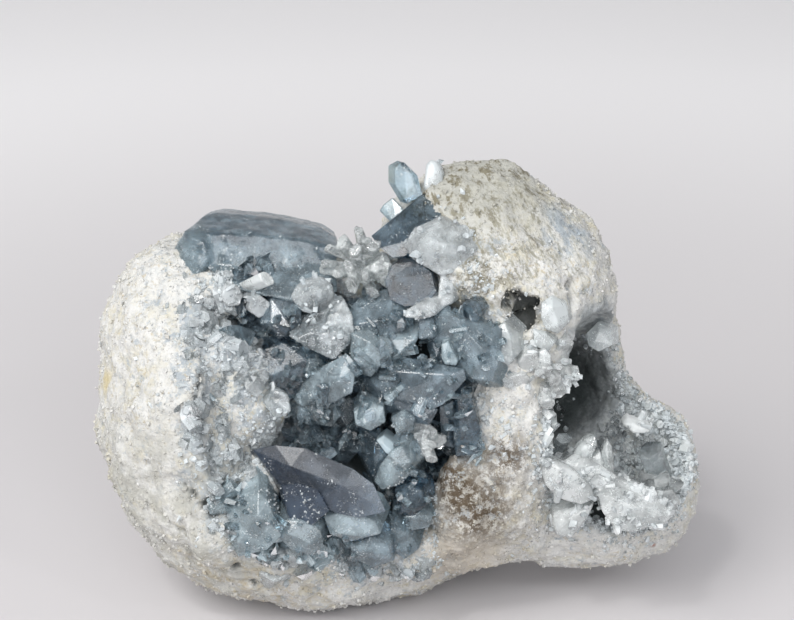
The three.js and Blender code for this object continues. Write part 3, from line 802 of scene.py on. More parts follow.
FROSTED_BROKEN = {
    "hazy_blob": (seen(
        (296, 286, -19), (304, 279, -18.5), (320, 277, -18.5), (331, 284, -19), (334, 296, -20.5),
        (327, 309, -21.5), (312, 314, -21.5), (297, 307, -21), (291, 296, -20), (314, 294, -24),
    ), (0, 9, -2), 0.85, 0.4, 0.1),
    "tongue": (seen(
        (336, 303, -23), (345, 300, -23), (353, 318, -25), (355, 331, -26), (349, 346, -27), (338, 347, -27),
        (332, 331, -26), (326, 318, -25),
    ), (-1, 8, -1), 0.85, 0.5, 0.0),
    "wing": (seen(
        (287, 336, -26), (310, 330, -25.5), (334, 320, -25), (350, 325, -26), (350, 342, -28),
        (334, 361, -29), (322, 351, -28.5), (300, 345, -28),
    ), (0, 7, 2), 0.85, 0.0, 0.5),
    "frosted_block": ([
        (1.2, -17, 91.4), (3.8, -15.5, 95.0), (9.3, -14, 97.2), (15.4, -15.5, 95.2), (17.6, -18.5, 91.5),
        (14.2, -21.5, 86.8), (9.0, -22.5, 86.2), (6.7, -21.5, 89.0), (2.9, -19.5, 89.2), (7.4, -22, 93.9),
        (12, -21.5, 92.9),
    ], (4, 12, -2), 0.95, 0.3, 0.1),
    "block_rim": ([
        (9.4, -21, 86.4), (12.4, -22, 84.1), (12.2, -24, 80.3), (9.4, -25, 79.4), (8.6, -23.5, 82.6),
    ], (4, 8, 0), 0.9, 0.5, 0.0),
    "pale_bar": ([
        (1.3, -27, 79.3), (5, -26, 81.4), (8.4, -26, 80.6), (8.4, -27, 78.4), (5, -28, 77.9),
        (1.5, -28, 78.3),
    ], (4, 6, 1), 0.9, 0.3, 0.0),
    "crown_knob": (seen(
        (425, 165, -2), (430, 159, -2), (437, 162, -2), (442, 172, -3), (442, 192, -5), (430, 197, -6),
        (423, 188, -5),
    ), (1, 5, -1), 0.8, 0.5, 0.1),
    "crust_blade": (seen(
        (262, 402, -30), (275, 388, -30), (290, 396, -31), (292, 412, -32), (276, 420, -32),
    ), (-2, 6, 0), 0.8, 0.1, 0.4),
}
LEDGE_BROKEN = {
    "ledge_body": (seen(
        (164, 264, -4), (185, 231, -8), (206, 214, 0), (217, 212.5, 1), (262, 216, 1), (293, 221, 0),
        (321, 228, 0), (337, 238, -2), (252, 234, -10), (188, 233, -10), (300, 239, -10), (339, 248, -9),
        (181, 262, -10), (206, 261, -12), (240, 266, -13), (292, 272, -13.5), (334, 272, -12),
    ), (0, 12, -2), 0.95, 0.15, 0.6),
    "ledge_end": (seen(
        (163, 266, -4), (178, 244, -7), (190, 236, -10.5), (204, 240, -12.5), (207, 262, -14),
        (196, 276, -15), (176, 276, -11),
    ), (4, 9, -1), 1.1, 0.35, 0.3),
    "ledge_shelf": (seen(
        (206, 262, -12), (240, 267, -12.5), (292, 273, -13), (336, 270, -13), (337, 292, -17.5),
        (300, 304, -19.5), (262, 296, -19.5), (222, 286, -17.5),
    ), (0, 11, -3), 0.95, 0.35, 0.4),
}
CROWN_BROKEN = {
    "crown_plate": ([
        (-0.5, -4, 105.7), (1.6, -4, 106.9), (4.6, -4.5, 104), (5.7, -6, 99.8), (2.2, -6.5, 97.9),
        (-0.5, -5, 102.1),
    ], (-1.5, 2.6, -0.2), 1.0, 0.0, 0.0),
    "crown_shard": ([
        (-4, -1, 94.9), (-3.1, -1, 96.3), (-1.1, -1, 97.9), (1.5, -3, 95.5), (0, -5, 91.8),
    ], (0.3, 2.0, -0.3), 0.95, 0.1, 0.0),
    "blue_face": (seen(
        (371, 236, -13), (397, 215, -9.5), (423, 193.5, -6), (436, 192, -5), (446, 202, -8), (438, 220, -14),
        (420, 238, -17), (405, 256, -18.5), (393, 258, -18), (380, 248, -16),
    ), (5, 10, -4), 0.9, 0.0, 1.0),
    # Painted shade: this facet is given a tone of 1.3 so that it reads as lying in shade
    "dark_facet_in_shade": ([
        (-1.2, -19.5, 87.7), (1.1, -18.5, 89.2), (4.6, -19.5, 88.6), (7.6, -21.5, 86.5), (8.6, -23.5, 83),
        (6.6, -24.5, 80.4), (1.8, -24.5, 79.6), (-1.6, -23.5, 80.9), (-2.7, -21.5, 84.7),
    ], (3, 10, -2), 0.9, 0.0, 1.3),
}
LIP_BROKEN = {
    "lip_left": (seen(
        (537, 457, -24), (548, 457, -24.5), (562, 463, -25.5), (577, 472, -27), (592, 488, -28),
        (595, 499, -28.5), (581, 505, -28.5), (562, 500, -28), (546, 486, -27), (566, 482, -30),
    ), (0, 8, -2), 0.85, 0.5, 0.0),
    "lip_middle": (seen(
        (560, 464, -22), (575, 453, -20.5), (590, 456, -21), (612, 470, -23), (624, 484, -25),
        (612, 492, -27), (590, 488, -27), (570, 475, -25),
    ), (0, 7, -2), 0.85, 0.3, 0.1),
    "lip_right": (seen(
        (600, 481, -25), (616, 478, -24.5), (640, 486, -25.5), (660, 499, -26.5), (673, 515, -27),
        (665, 525, -28), (648, 521, -28.5), (630, 532, -30), (617, 531, -30), (603, 512, -29),
        (597, 495, -28), (622, 502, -30.5),
    ), (0, 8, -2), 0.85, 0.4, 0.0),
    "lip_low": (seen(
        (553, 512, -24), (570, 508, -25), (595, 503, -26.5), (589, 515, -27), (579, 523, -27),
        (571, 539, -26.5), (558, 536, -25.5), (552, 524, -24.5),
    ), (0, 7, 0), 0.85, 0.45, 0.0),
    "wall_arc": (seen(
        (622, 424, -8), (628, 417.5, -7), (640, 426, -9), (652, 426, -9), (650, 433, -10), (634, 434, -10),
    ), (0, 3, 0), 0.9, 0.8, 0.0),
}
SIDE_BROKEN = {
    "standing_left": (seen(
        (572, 457, -20.5), (578, 446, -20.5), (588, 437, -20.5), (595.5, 436, -20.5), (597, 445, -21),
        (592, 457, -21.5), (584, 468, -22), (582, 450, -22),
    ), (0, 2.5, 0), 0.8, 0.12, 0.0),
    "standing_right": (seen(
        (601, 474, -22), (601.5, 452, -21.5), (607, 439.5, -21), (611.5, 446, -21.5), (614, 460, -22),
        (614, 476, -23), (608, 462, -23.3),
    ), (0, 2.5, 0), 0.8, 0.12, 0.0),
    "standing_low": (seen(
        (589, 470, -22.5), (592, 458, -22), (600, 452, -22), (604, 462, -22.5), (602, 476, -23),
    ), (0, 2.5, 0), 0.8, 0.2, 0.0),
    "blade": (seen(
        (544, 424, -21.5), (552, 420, -21.5), (561.5, 425, -22), (552, 434, -22), (544, 434, -22),
    ), (-1, 2, 0), 0.85, 0.1, 0.6),
    "blade_low": (seen(
        (541, 444, -22), (548, 437, -22), (553, 446, -22.5), (550, 458, -23), (542, 456, -23),
    ), (-1, 3, 0), 0.85, 0.1, 0.6),
    "cleft_blue": (seen(
        (586, 334, -3), (598, 322, -2), (611, 330, -3), (612, 345, -5), (598, 352, -6), (588, 346, -5),
    ), (2, 5, -1), 0.9, 0.4, 0.2),
    "pit_block": (seen(
        (541, 303, -22), (552, 296, -21), (566, 304, -20), (570, 322, -21), (558, 334, -22.5),
        (546, 330, -23.5), (541, 318, -23.5),
    ), (1, 5, 0), 0.9, 0.45, 0.3),
    "pit_wedge": (seen(
        (533, 329, -24), (546, 334, -24), (556, 342, -24), (548, 352, -25), (534, 346, -25),
    ), (1, 5, 0), 0.9, 0.45, 0.3),
    "pit_left": (seen(
        (490, 330, -25.5), (505, 322, -25), (518, 334, -25.5), (520, 352, -27), (508, 366, -28),
        (494, 358, -27.5),
    ), (2, 5, 0), 0.9, 0.4, 0.4),
    "white_blade": (seen(
        (538, 352, -26), (545, 349, -26), (551, 356, -26.5), (550, 371, -27.5), (541, 373, -27.5),
    ), (0, 3, 0), 0.85, 0.6, 0.0),
}


def spray(name, centre, tips, widths, milk, tone, chance):
    """Rows of slim crystals that fan out from one place to these tips."""
    rows = {}
    for index, tip in enumerate(tips):
        root = tuple(value + chance.uniform(-1.2, 1.2) for value in centre)
        wide = chance.uniform(*widths)
        size = (wide, 0.65 * wide, chance.uniform(0.6, 1.1) * wide)
        rows[f"{name}_{index}"] = (root, tip, size, chance.uniform(0, 180), milk, tone)
    return rows


def spray_rows():
    chance = random.Random(11)
    saddle_tips = [
        (-9.5, -12, 93.9), (-13.4, -14, 91.5), (-16.6, -16, 90.2), (-17.2, -18, 87.0), (-2.6, -16, 88.2),
        (-2.8, -21, 83.3), (-6, -17, 91), (-12, -20, 87), (-8, -22, 85.5), (-5, -20, 87), (-10, -17, 90),
        (-14.5, -20, 85), (-6, -22, 81.5), (-11, -22, 82.5), (-1.8, -19, 85.5), (-7.5, -12, 91.5),
    ]
    stain_tips = [
        (1.5, -28, 50), (3, -29, 53), (6, -30, 53), (9, -29, 52), (3.5, -31, 49), (7.5, -31, 49.5),
        (1.5, -29, 46.5), (5, -31, 46), (9.5, -30, 47.5), (3, -27, 55.5), (6, -28, 56), (-1, -28, 54.5),
        (0.5, -27, 57.5), (4.5, -32, 51.5), (8, -32, 45.5), (2.5, -31.5, 44.5), (11, -29.5, 50),
        (6.5, -32.5, 47.5),
    ]
    saddle_tips = [(1.15 * x + 2.2, 1.15 * y + 1.2, 1.15 * z - 12) for x, y, z in saddle_tips]
    rows = spray("saddle", (-7.3, -8, 84), saddle_tips, (2.4, 4.6), 0.1, 0.0, chance)
    rows.update(spray("stain", (5.5, -21, 49), stain_tips, (2.4, 4.4), 0.35, 0.0, chance))
    # Painted highlight: a milky white blade where a highlight shines
    rows["bright_blade"] = ((-8, -14, 84), (-2.4, -19, 88.6), (2.2, 1.4, 1.5), 20, 0.9, 0.0)
    rows["round_lath"] = ((-10, -14, 84), (-17.4, -17, 86.2), (2.6, 1.8, 0.8), 10, 0.3, 0.0)
    rows["leaning_lath"] = ((-36, -14, 79.5), (-27.4, -21.5, 85.6), (4.4, 3.0, 1.4), 20, 0.6, 0.0)
    return rows


def upright_prism(sides):
    """A prism standing on the origin, one wide and one high."""
    deselect()
    placed = {"location": (0, 0, 0.5), "rotation": (0, 0, math.pi / 2)}
    bpy.ops.mesh.primitive_cylinder_add(vertices=sides, radius=0.5, depth=1, **placed)
    bpy.ops.object.transform_apply()
    return bpy.context.object


def shape_crystal(name, size, length, seed):
    """An upright crystal: a six-sided prism with a chisel point, growth steps and broken corners."""
    chance = random.Random(seed)
    wide, thick, point = (value * MM for value in size)
    length *= MM
    shoulder = length - point
    crystal = upright_prism(6)
    crystal.name = name
    crystal.data.transform(Matrix.Diagonal((wide, thick, shoulder, 1)))
    bpy.ops.object.mode_set(mode="EDIT")
    select_faces(crystal, lambda middle, normal: normal.z > 0.9)
    bpy.ops.mesh.extrude_region_move(TRANSFORM_OT_translate={"value": (0, 0, point)})
    sharp = 0.35 if point > 0.75 * wide else 1.0
    narrow = (sharp * chance.uniform(0.3, 0.6), chance.uniform(0.08, 0.22), 1)
    bpy.ops.transform.resize(value=narrow, center_override=(0, 0, length))
    lean = (chance.uniform(-0.12, 0.12) * wide, chance.uniform(-0.1, 0.1) * thick, 0)
    bpy.ops.transform.translate(value=lean)
    select_faces(crystal, lambda middle, normal: normal.z < -0.9)
    bpy.ops.transform.resize(value=(0.85, 0.85, 1), center_override=(0, 0, 0))
    for _ in range(2):
        side = chance.choice((-1, 1))
        slope = (side * chance.uniform(0.5, 0.9), chance.uniform(-0.7, 0.7), chance.uniform(0.35, 0.8))
        cut_at = (side * wide * chance.uniform(0.27, 0.4), 0, length - point * chance.uniform(0.2, 0.6))
        bpy.ops.mesh.select_all(action="SELECT")
        bpy.ops.mesh.bisect(plane_co=cut_at, plane_no=slope, use_fill=True, clear_outer=True)
    for side in (-1, 1):
        select_faces(crystal, lambda middle, normal: normal.y * side > 0.85 and middle.z < shoulder)
        step = chance.uniform(0.06, 0.14) * wide
        bpy.ops.mesh.inset(thickness=step, depth=chance.choice((-0.025, 0.03)) * wide)
    bpy.ops.mesh.select_all(action="SELECT")
    bpy.ops.mesh.bevel(offset=0.012 * wide, segments=1, affect="EDGES")
    bpy.ops.object.mode_set(mode="OBJECT")
    return crystal


def placement(root, tip, roll):
    """The turn and move that lay an upright crystal from its root to its tip."""
    axis = (tip - root).normalized()
    across = axis.cross(Vector((0, -1, 0)))
    across = across.normalized() if across.length > 1e-6 else Vector((1, 0, 0))
    across.rotate(Matrix.Rotation(roll, 3, axis))
    turn = Matrix((across, axis.cross(across), axis)).transposed().to_4x4()
    return Matrix.Translation(root) @ turn


def break_crystal(name, front, back, taper, ridge, chance):
    """A broken crystal: flat faces over its front corners, the ridge before them and the corners behind."""
    middle = sum(front, Vector()) / len(front)
    behind = [middle + taper * (corner - middle) + Vector(back) * MM for corner in front]
    _, _, ways = np.linalg.svd(np.array([corner - middle for corner in front]))
    along, across, out = (Vector(way) for way in ways)
    long = max(abs((corner - middle).dot(along)) for corner in front)
    wide = max(abs((corner - middle).dot(across)) for corner in front)
    crest = middle + chance.uniform(-0.4, 0.4) * wide * across
    crest -= ridge * wide * (out if out.y > 0 else -out)
    ends = [crest + share * long * along for share in (chance.uniform(0.35, 0.6), -chance.uniform(0.35, 0.6))]
    places = front + behind + (ends if ridge else [])
    deselect()
    bpy.ops.mesh.primitive_circle_add(vertices=len(places), radius=0.01)
    crystal = bpy.context.object
    crystal.name = name
    for corner, place in zip(crystal.data.vertices, places):
        corner.co = place
    bpy.ops.object.mode_set(mode="EDIT")
    bpy.ops.mesh.select_all(action="SELECT")
    bpy.ops.mesh.convex_hull(face_threshold=math.radians(7), shape_threshold=math.radians(60))
    bpy.ops.mesh.select_all(action="SELECT")
    bpy.ops.mesh.normals_make_consistent(inside=False)
    bpy.ops.object.mode_set(mode="OBJECT")
    edges = {"width": 0.16 * MM, "segments": 1, "limit_method": "ANGLE", "angle_limit": math.radians(15)}
    apply_modifier(crystal, "BEVEL", **edges)
    return crystal


def mark_crystal(crystal, middle, turn, reach, milk, tone):
    """Gives a crystal its veils and growth lines, and returns what they follow, for when it's fused."""
    part = (middle, turn, reach, milk, tone)
    draw_growth(crystal, [part])
    return part


def draw_growth(piece, parts):
    """Paints each corner like the crystals it's near: their veils, depth of colour and growth lines."""
    points = corners_of(piece)
    away = np.array([np.linalg.norm(points - middle, axis=1) / reach for middle, _, reach, _, _ in parts])
    shares = np.exp(-5 * away ** 2) + 1e-9
    shares /= shares.sum(axis=0)
    nearest = away.argmin(axis=0)
    lines = np.zeros((len(points), 2))
    for index, (middle, turn, _, _, _) in enumerate(parts):
        mine = nearest == index
        local = (points[mine] - middle) @ turn
        lines[mine] = np.stack([local[:, 0] + 0.6 * local[:, 1], local[:, 2]], axis=1) * MM
    paint(piece, "milk", np.array([part[3] for part in parts]) @ shares)
    paint(piece, "tone", np.array([part[4] for part in parts]) @ shares)
    map_corners(piece, lines)


def place_crystals(name, rows, seed, broken={}, swell=1.0, flare=1.0, ridge=0.0):
    """These crystals, whole ones from root to tip and broken ones around their corners, in one mesh."""
    chance = random.Random(seed)
    made, parts = [], []
    for index, (part, (root, tip, size, roll, milk, tone)) in enumerate(rows.items()):
        root, tip = at(*root), at(*tip)
        crystal = shape_crystal(part, size, (tip - root).length / MM, seed + index)
        lay = placement(root, tip, math.radians(roll))
        crystal.data.transform(lay)
        middle = (np.array((root + tip) / 2) - np.array(NODULE_ORIGIN)) / MM
        reach = (tip - root).length / MM / 2
        parts.append(mark_crystal(crystal, middle, np.array(lay)[:3, :3], reach, milk, tone))
        made.append(crystal)
    for part, (corners, back, taper, milk, tone) in broken.items():
        spread = np.array(corners, float)
        spread[:, 0] = spread[:, 0].mean() + swell * (spread[:, 0] - spread[:, 0].mean())
        spread[:, 2] = spread[:, 2].mean() + swell * (spread[:, 2] - spread[:, 2].mean())
        crystal = break_crystal(part, [at(*corner) for corner in spread], back, flare * taper, ridge, chance)
        middle = spread.mean(axis=0) + np.array(back) / 2
        _, _, ways = np.linalg.svd(spread - spread.mean(axis=0))
        turn = np.stack([ways[1], ways[2], ways[0]], axis=1)
        reach = np.linalg.norm(spread - middle, axis=1).max()
        parts.append(mark_crystal(crystal, middle, turn, reach, milk, tone))
        made.append(crystal)
    piece = join(made, name)
    piece.data.materials.clear()
    return piece, parts


def fuse_crystals(piece, parts, voxel_mm, worn_mm):
    """Melts the crystals of one mesh together, with worn edges."""
    for layer in list(piece.data.uv_layers):
        piece.data.uv_layers.remove(layer)
    apply_modifier(piece, "REMESH", mode="VOXEL", voxel_size=voxel_mm * MM)
    roughen(piece, piece.name + "_wear", "CLOUDS", 3.5, 2.5 * worn_mm)
    roughen(piece, piece.name + "_pits", "CLOUDS", 1.1, worn_mm)
    draw_growth(piece, parts)
    only(piece)
    bpy.ops.object.shade_smooth()
    return piece


def finish_piece(piece, finish, slot, *nodes):
    piece.data.materials.clear()
    piece.data.materials.append(finish)
    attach(piece, "root")
    if nodes:
        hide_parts(*nodes)
    return piece


# Small crystals, joined in one mesh for each place where they grow

def form_of(crystal):
    """The crystal's corners and triangles, as arrays."""
    only(crystal)
    bpy.ops.object.mode_set(mode="EDIT")
    bpy.ops.mesh.select_all(action="SELECT")
    bpy.ops.mesh.quads_convert_to_tris()
    bpy.ops.object.mode_set(mode="OBJECT")
    corners = np.array([corner.co for corner in crystal.data.vertices])
    faces = np.array([tuple(face.vertices) for face in crystal.data.polygons])
    bpy.data.objects.remove(crystal)
    return corners, faces


def model_fine_forms():
    """Detailed upright crystals, one wide and one high, that the middle-sized ones are copied from."""
    forms = []
    for seed, size in enumerate([(6, 5, 4), (6, 4, 5), (7, 6, 3), (5, 4.5, 5), (6, 5.5, 2), (7, 5, 5)]):
        corners, faces = form_of(shape_crystal("form", size, 10, 900 + seed))
        forms.append((corners / (np.array([size[0], size[0], 10]) * MM), faces))
    return forms


def model_small_forms():
    """Plain upright crystals, one wide and one high, that the small ones are copied from."""
    forms = []
    for sides, tip_wide, tip_thick, shoulder, root in [
        (6, 0.4, 0.12, 0.7, 0.85),
        (6, 0.15, 0.1, 0.6, 0.8),
        (4, 0.5, 0.1, 0.72, 0.9),
        (6, 0.7, 0.5, 0.88, 0.75),
    ]:
        form = upright_prism(sides)
        form.data.transform(Matrix.Diagonal((1, 0.8, shoulder, 1)))
        bpy.ops.object.mode_set(mode="EDIT")
        select_faces(form, lambda middle, normal: normal.z > 0.9)
        bpy.ops.mesh.extrude_region_move(TRANSFORM_OT_translate={"value": (0, 0, 1 - shoulder)})
        bpy.ops.transform.resize(value=(tip_wide, tip_thick, 1), center_override=(0, 0, 1))
        bpy.ops.transform.translate(value=(0.08, 0.03, 0))
        select_faces(form, lambda middle, normal: normal.z < -0.9)
        bpy.ops.transform.resize(value=(root, root, 1), center_override=(0, 0, 0))
        bpy.ops.object.mode_set(mode="OBJECT")
        forms.append(form_of(form))
    return forms


def model_grain_forms():
    """Crooked cubes, one wide and one high, for the sugary grains."""
    forms = []
    for seed in range(4):
        chance = random.Random(seed)
        deselect()
        bpy.ops.mesh.primitive_cube_add(size=1, location=(0, 0, 0.5))
        grain = bpy.context.object
        bpy.ops.object.mode_set(mode="EDIT")
        for way in (1, -1):
            select_faces(grain, lambda middle, normal: normal.z * way > 0.9)
            bpy.ops.transform.resize(value=(chance.uniform(0.5, 0.9), chance.uniform(0.5, 0.9), 1))
            bpy.ops.transform.translate(value=(chance.uniform(-0.2, 0.2), chance.uniform(-0.2, 0.2), 0))
        bpy.ops.object.mode_set(mode="OBJECT")
        forms.append(form_of(grain))
    return forms


def grow(name, spots, facings, kind, lengths, slim, stray, milk, tone, sink, chance):
    """Small crystals that stand on the spots, many short and few long, joined in one mesh.

    The kind is their forms, finish and slot; the slot is not used. Slim is how wide they are for their
    length, stray how far they lean off the way their spot looks, and sink the share of their length that is
    buried.
    """
    forms, finish, slot = kind
    count = len(spots)
    long = lengths[0] * (lengths[1] / lengths[0]) ** chance.uniform(0, 1, count) ** 1.3
    wide = long * chance.uniform(*slim, count)
    axes = unit(facings + stray * chance.normal(size=(count, 3)))
    across = unit(np.cross(axes, chance.normal(size=(count, 3))))
    through = np.cross(axes, across)
    kinds = chance.integers(0, len(forms), count)
    veils = np.clip(milk + chance.normal(0, 0.15, count), 0, 1)
    tones = np.clip(tone + chance.normal(0, 0.15, count), 0, 1)
    corners, faces, veiled, toned, lines = [], [], [], [], []
    offset = 0
    for kind, (form_corners, form_faces) in enumerate(forms):
        mine = np.flatnonzero(kinds == kind)
        size = np.stack([wide[mine], wide[mine], long[mine]], axis=1)
        local = form_corners[None] * size[:, None]
        local[:, :, 2] -= sink * long[mine, None]
        turn = np.stack([across[mine], through[mine], axes[mine]], axis=1)
        placed = spots[mine, None] + np.einsum("nvk,nkj->nvj", local, turn)
        steps = offset + len(form_corners) * np.arange(len(mine))
        corners.append(placed.reshape(-1, 3))
        faces.append((form_faces[None] + steps[:, None, None]).reshape(-1, form_faces.shape[1]))
        veiled.append(np.repeat(veils[mine], len(form_corners)))
        toned.append(np.repeat(tones[mine], len(form_corners)))
        lines.append(np.stack([local[:, :, 0] + 0.6 * local[:, :, 1], local[:, :, 2]], axis=2).reshape(-1, 2))
        offset += len(form_corners) * len(mine)
    mesh = bpy.data.meshes.new(name)
    mesh.from_pydata(np.concatenate(corners) * MM + np.array(NODULE_ORIGIN), [], np.concatenate(faces))
    piece = bpy.data.objects.new(name, mesh)
    bpy.context.scene.collection.objects.link(piece)
    map_corners(piece, np.concatenate(lines) * MM)
    paint(piece, "milk", np.concatenate(veiled))
    paint(piece, "tone", np.concatenate(toned))
    return finish_piece(piece, finish, slot)


def spots_over(pieces, count, chance):
    """Spots spread evenly over the pieces' faces, and the way each face looks."""
    starts, sides = [], []
    for piece in pieces:
        piece.data.calc_loop_triangles()
        corners = corners_of(piece)
        triangles = np.array([triangle.vertices[:] for triangle in piece.data.loop_triangles])
        start = corners[triangles[:, 0]]
        starts.append(start)
        sides.append(np.stack([corners[triangles[:, 1]] - start, corners[triangles[:, 2]] - start], axis=1))
    starts, sides = np.concatenate(starts), np.concatenate(sides)
    normals = np.cross(sides[:, 0], sides[:, 1])
    areas = np.linalg.norm(normals, axis=1)
    picked = chance.choice(len(areas), count, p=areas / areas.sum())
    shares = chance.uniform(0, 1, (count, 2))
    shares = np.where(shares.sum(axis=1, keepdims=True) > 1, 1 - shares, shares)
    return starts[picked] + np.einsum("nk,nkj->nj", shares, sides[picked]), unit(normals[picked])


# Where crumbs of tiny crystals lie on larger ones: place and radius
CRUMBS = [
    ((-2.5, -31, 63.5), 2.6),
    ((3.0, -32.5, 62.0), 2.0),
    ((10.5, -9, 98.5), 3.5),
    ((-28, -37, 39), 4.0),
    ((-20, -38.5, 38), 4.5),
    ((-12, -28, 71), 3.0),
    ((4, -27, 78), 2.5),
    ((38, -28, 41), 5.0),
    ((56, -27, 34), 5.0),
    ((-38, -16, 83), 6.0),
    ((1, -34, 43), 3.0),
]
# The deep-blue blade, which stays free of shards: middle and radii
BLADE_MIDDLE, BLADE_RADII = (-17, -33, 43), (18, 12, 9)


def grow_dust(name, pieces, count, kind, lengths, chance):
    """Crumbs of tiny crystals on larger ones."""
    spots, facings = spots_over(pieces, count, chance)
    crumbed = np.zeros(len(spots))
    for place, radius in CRUMBS:
        crumbed = np.maximum(crumbed, 1 - away_from(spots, place) / radius / 1.3)
    kept = crumbed > chance.uniform(0, 1, len(spots))
    grow(name, spots[kept], facings[kept], kind, lengths, (0.5, 0.9), 0.8, 0.5, 0.0, 0.35, chance)


def grow_shards(name, pieces, count, kind, lengths, milk, chance):
    """Small crystals that lean out of the large ones, in clusters."""
    spots, facings = spots_over(pieces, 3 * count, chance)
    on_blade = np.linalg.norm((spots - np.array(BLADE_MIDDLE)) / np.array(BLADE_RADII), axis=1) < 1
    clustered = noise_at(spots, 4, 2) - 0.5 * facings[:, 1] + 0.3 * facings[:, 2] - 5 * on_blade
    kept = np.argsort(-clustered)[:count]
    leaning = unit(facings[kept] + np.array([0, -0.2, 0.2]))
    grow(name, spots[kept], leaning, kind, lengths, (0.4, 0.65), 0.8, milk, 0.3, 0.45, chance)


def grow_druse(rind, small, slate, clear, frost):
    chance = np.random.default_rng(5)
    fine, grain = model_fine_forms(), model_grain_forms()
    blue_walls, blue_druse = (fine, slate, "blue_crystal"), (small, slate, "blue_crystal")
    clear_walls, chunks = (fine, clear, "clear_crystal"), (fine, frost, "clear_crystal")
    white_druse, sugar = (small, frost, "clear_crystal"), (grain, rind.data.materials[0], "rock")
    corners, normals = corners_of(rind), normals_of(rind)
    front = distance_to(corners, FRONT_HOLLOW, HOLLOW_BLEND)
    side = distance_to(corners, SIDE_HOLLOW, HOLLOW_BLEND)
    crust = distance_to(corners, CRUST_LUMPS, 1)
    gap = np.zeros(len(corners))
    for place, radius in GAPS:
        gap = np.maximum(gap, 1 - smooth(away_from(corners, place), radius, 1.3 * radius))
    off_left = smooth(corners[:, 0], -41, -31)
    on_front = (front < 1.5) * (crust > 1.5) * (1 - gap) * off_left
    on_side = (side < 2.0) * (1 - 0.99 * gap) * (corners[:, 2] < 64)
    out_front = unit(normals * 0.8 + 0.6 * unit(np.array([-9, -60, 60]) - corners))
    out_side = unit(normals * 0.8 + 0.4 * unit(np.array([52, -40, 50]) - corners))
    # Painted shade: crystals deeper in the hollows get a deeper tone and less veil, so they read darker
    front_recess_shade = smooth(corners[:, 1], -30, -14)
    side_recess_shade = smooth(corners[:, 1], -20, -4) * (1 - smooth(corners[:, 0], 52, 62))

    def patch(name, weights, count, facings, kind, lengths, slim, stray, milk, tone, sink=0.25):
        weights = np.asarray(weights, float)
        spots = chance.choice(len(weights), count, p=weights / weights.sum())
        milk = np.broadcast_to(milk, len(weights))[spots]
        tone = np.broadcast_to(tone, len(weights))[spots]
        grow(name, corners[spots], facings[spots], kind, lengths, slim, stray, milk, tone, sink, chance)

    front_milk, side_milk = 0.12 + 0.3 * (1 - front_recess_shade), 0.25 + 0.45 * (1 - side_recess_shade)
    patch("front_wall_crystals", on_front, 240, out_front, blue_walls, (6, 12), (0.35, 0.6), 0.7,
          front_milk, 0.2 + 0.5 * front_recess_shade, 0.35)
    patch("front_druse", on_front, 1500, out_front, blue_druse, (2, 6), (0.35, 0.6), 0.7,
          front_milk + 0.1, front_recess_shade * 0.6)
    off_stain = smooth(away_from(corners, (17, -27, 33)), 12, 18)
    rim = np.exp(-np.maximum(front, 0) / 2.5) * (front > 0.5) * (corners[:, 2] > 12) * (0.25 + off_left)
    rim = rim * off_stain
    patch("rim_druse", rim, 2200, normals, white_druse, (0.6, 2.6), (0.45, 0.7), 0.8, 0.7, 0.1, 0.5)
    chunky = (front > -6) & (front < 3.5) & (corners[:, 1] < -8)
    chunky = chunky * (1 - smooth(corners[:, 0], -30, -20)) * (corners[:, 2] < 84)
    chunky = chunky * np.exp(-np.maximum(front, 0) / 3)
    low = (front > -3) & (front < 4) & (corners[:, 2] < 34) & (corners[:, 0] < 7)
    chunky = chunky + 0.8 * low
    patch("crust_chunks", chunky, 640, normals, chunks, (1.8, 6.0), (0.5, 0.9), 0.9, 0.3, 0.3, 0.55)
    on_crust = (crust < 1.0) & (front < 3) & (corners[:, 0] < 9)
    patch("crust_druse", on_crust, 2600, normals, white_druse, (0.4, 1.6), (0.5, 0.8), 0.8, 0.7, 0.1, 0.5)
    patch("side_wall_crystals", on_side * (side < 0.5), 300, out_side, clear_walls, (1.8, 5.5), (0.4, 0.65),
          0.5, side_milk, side_recess_shade * 0.3, 0.35)
    patch("side_druse", on_side * (side < 1.0), 3000, out_side, white_druse, (0.6, 2.4), (0.5, 0.8), 0.5,
          side_milk + 0.15, side_recess_shade * 0.3, 0.35)
    side_rim = np.exp(-np.maximum(side, 0) / 2.0) * (side > 0.5) * (corners[:, 2] < 62)
    patch("side_rim_druse", side_rim, 1500, normals, white_druse, (0.6, 2.2), (0.5, 0.8), 0.8, 0.6, 0.0, 0.5)
    starts_at = np.where(corners[:, 0] > 9, -5, 1.0)
    outside = (front > starts_at) & (side > 1.0) & (corners[:, 2] > 2) & (gap < 0.5)
    outside = outside * (0.5 + 0.9 * (normals[:, 1] < 0.3) + 1.2 * np.exp(-np.maximum(front, 0) / 8))
    for name in ("rock_sugar_1", "rock_sugar_2"):
        patch(name, outside, 10000, normals, sugar, (0.25, 0.8), (0.8, 1.4), 0.9, 0.1, 0.2, 0.6)


set_camera()
set_studio()
rind = model_rind()

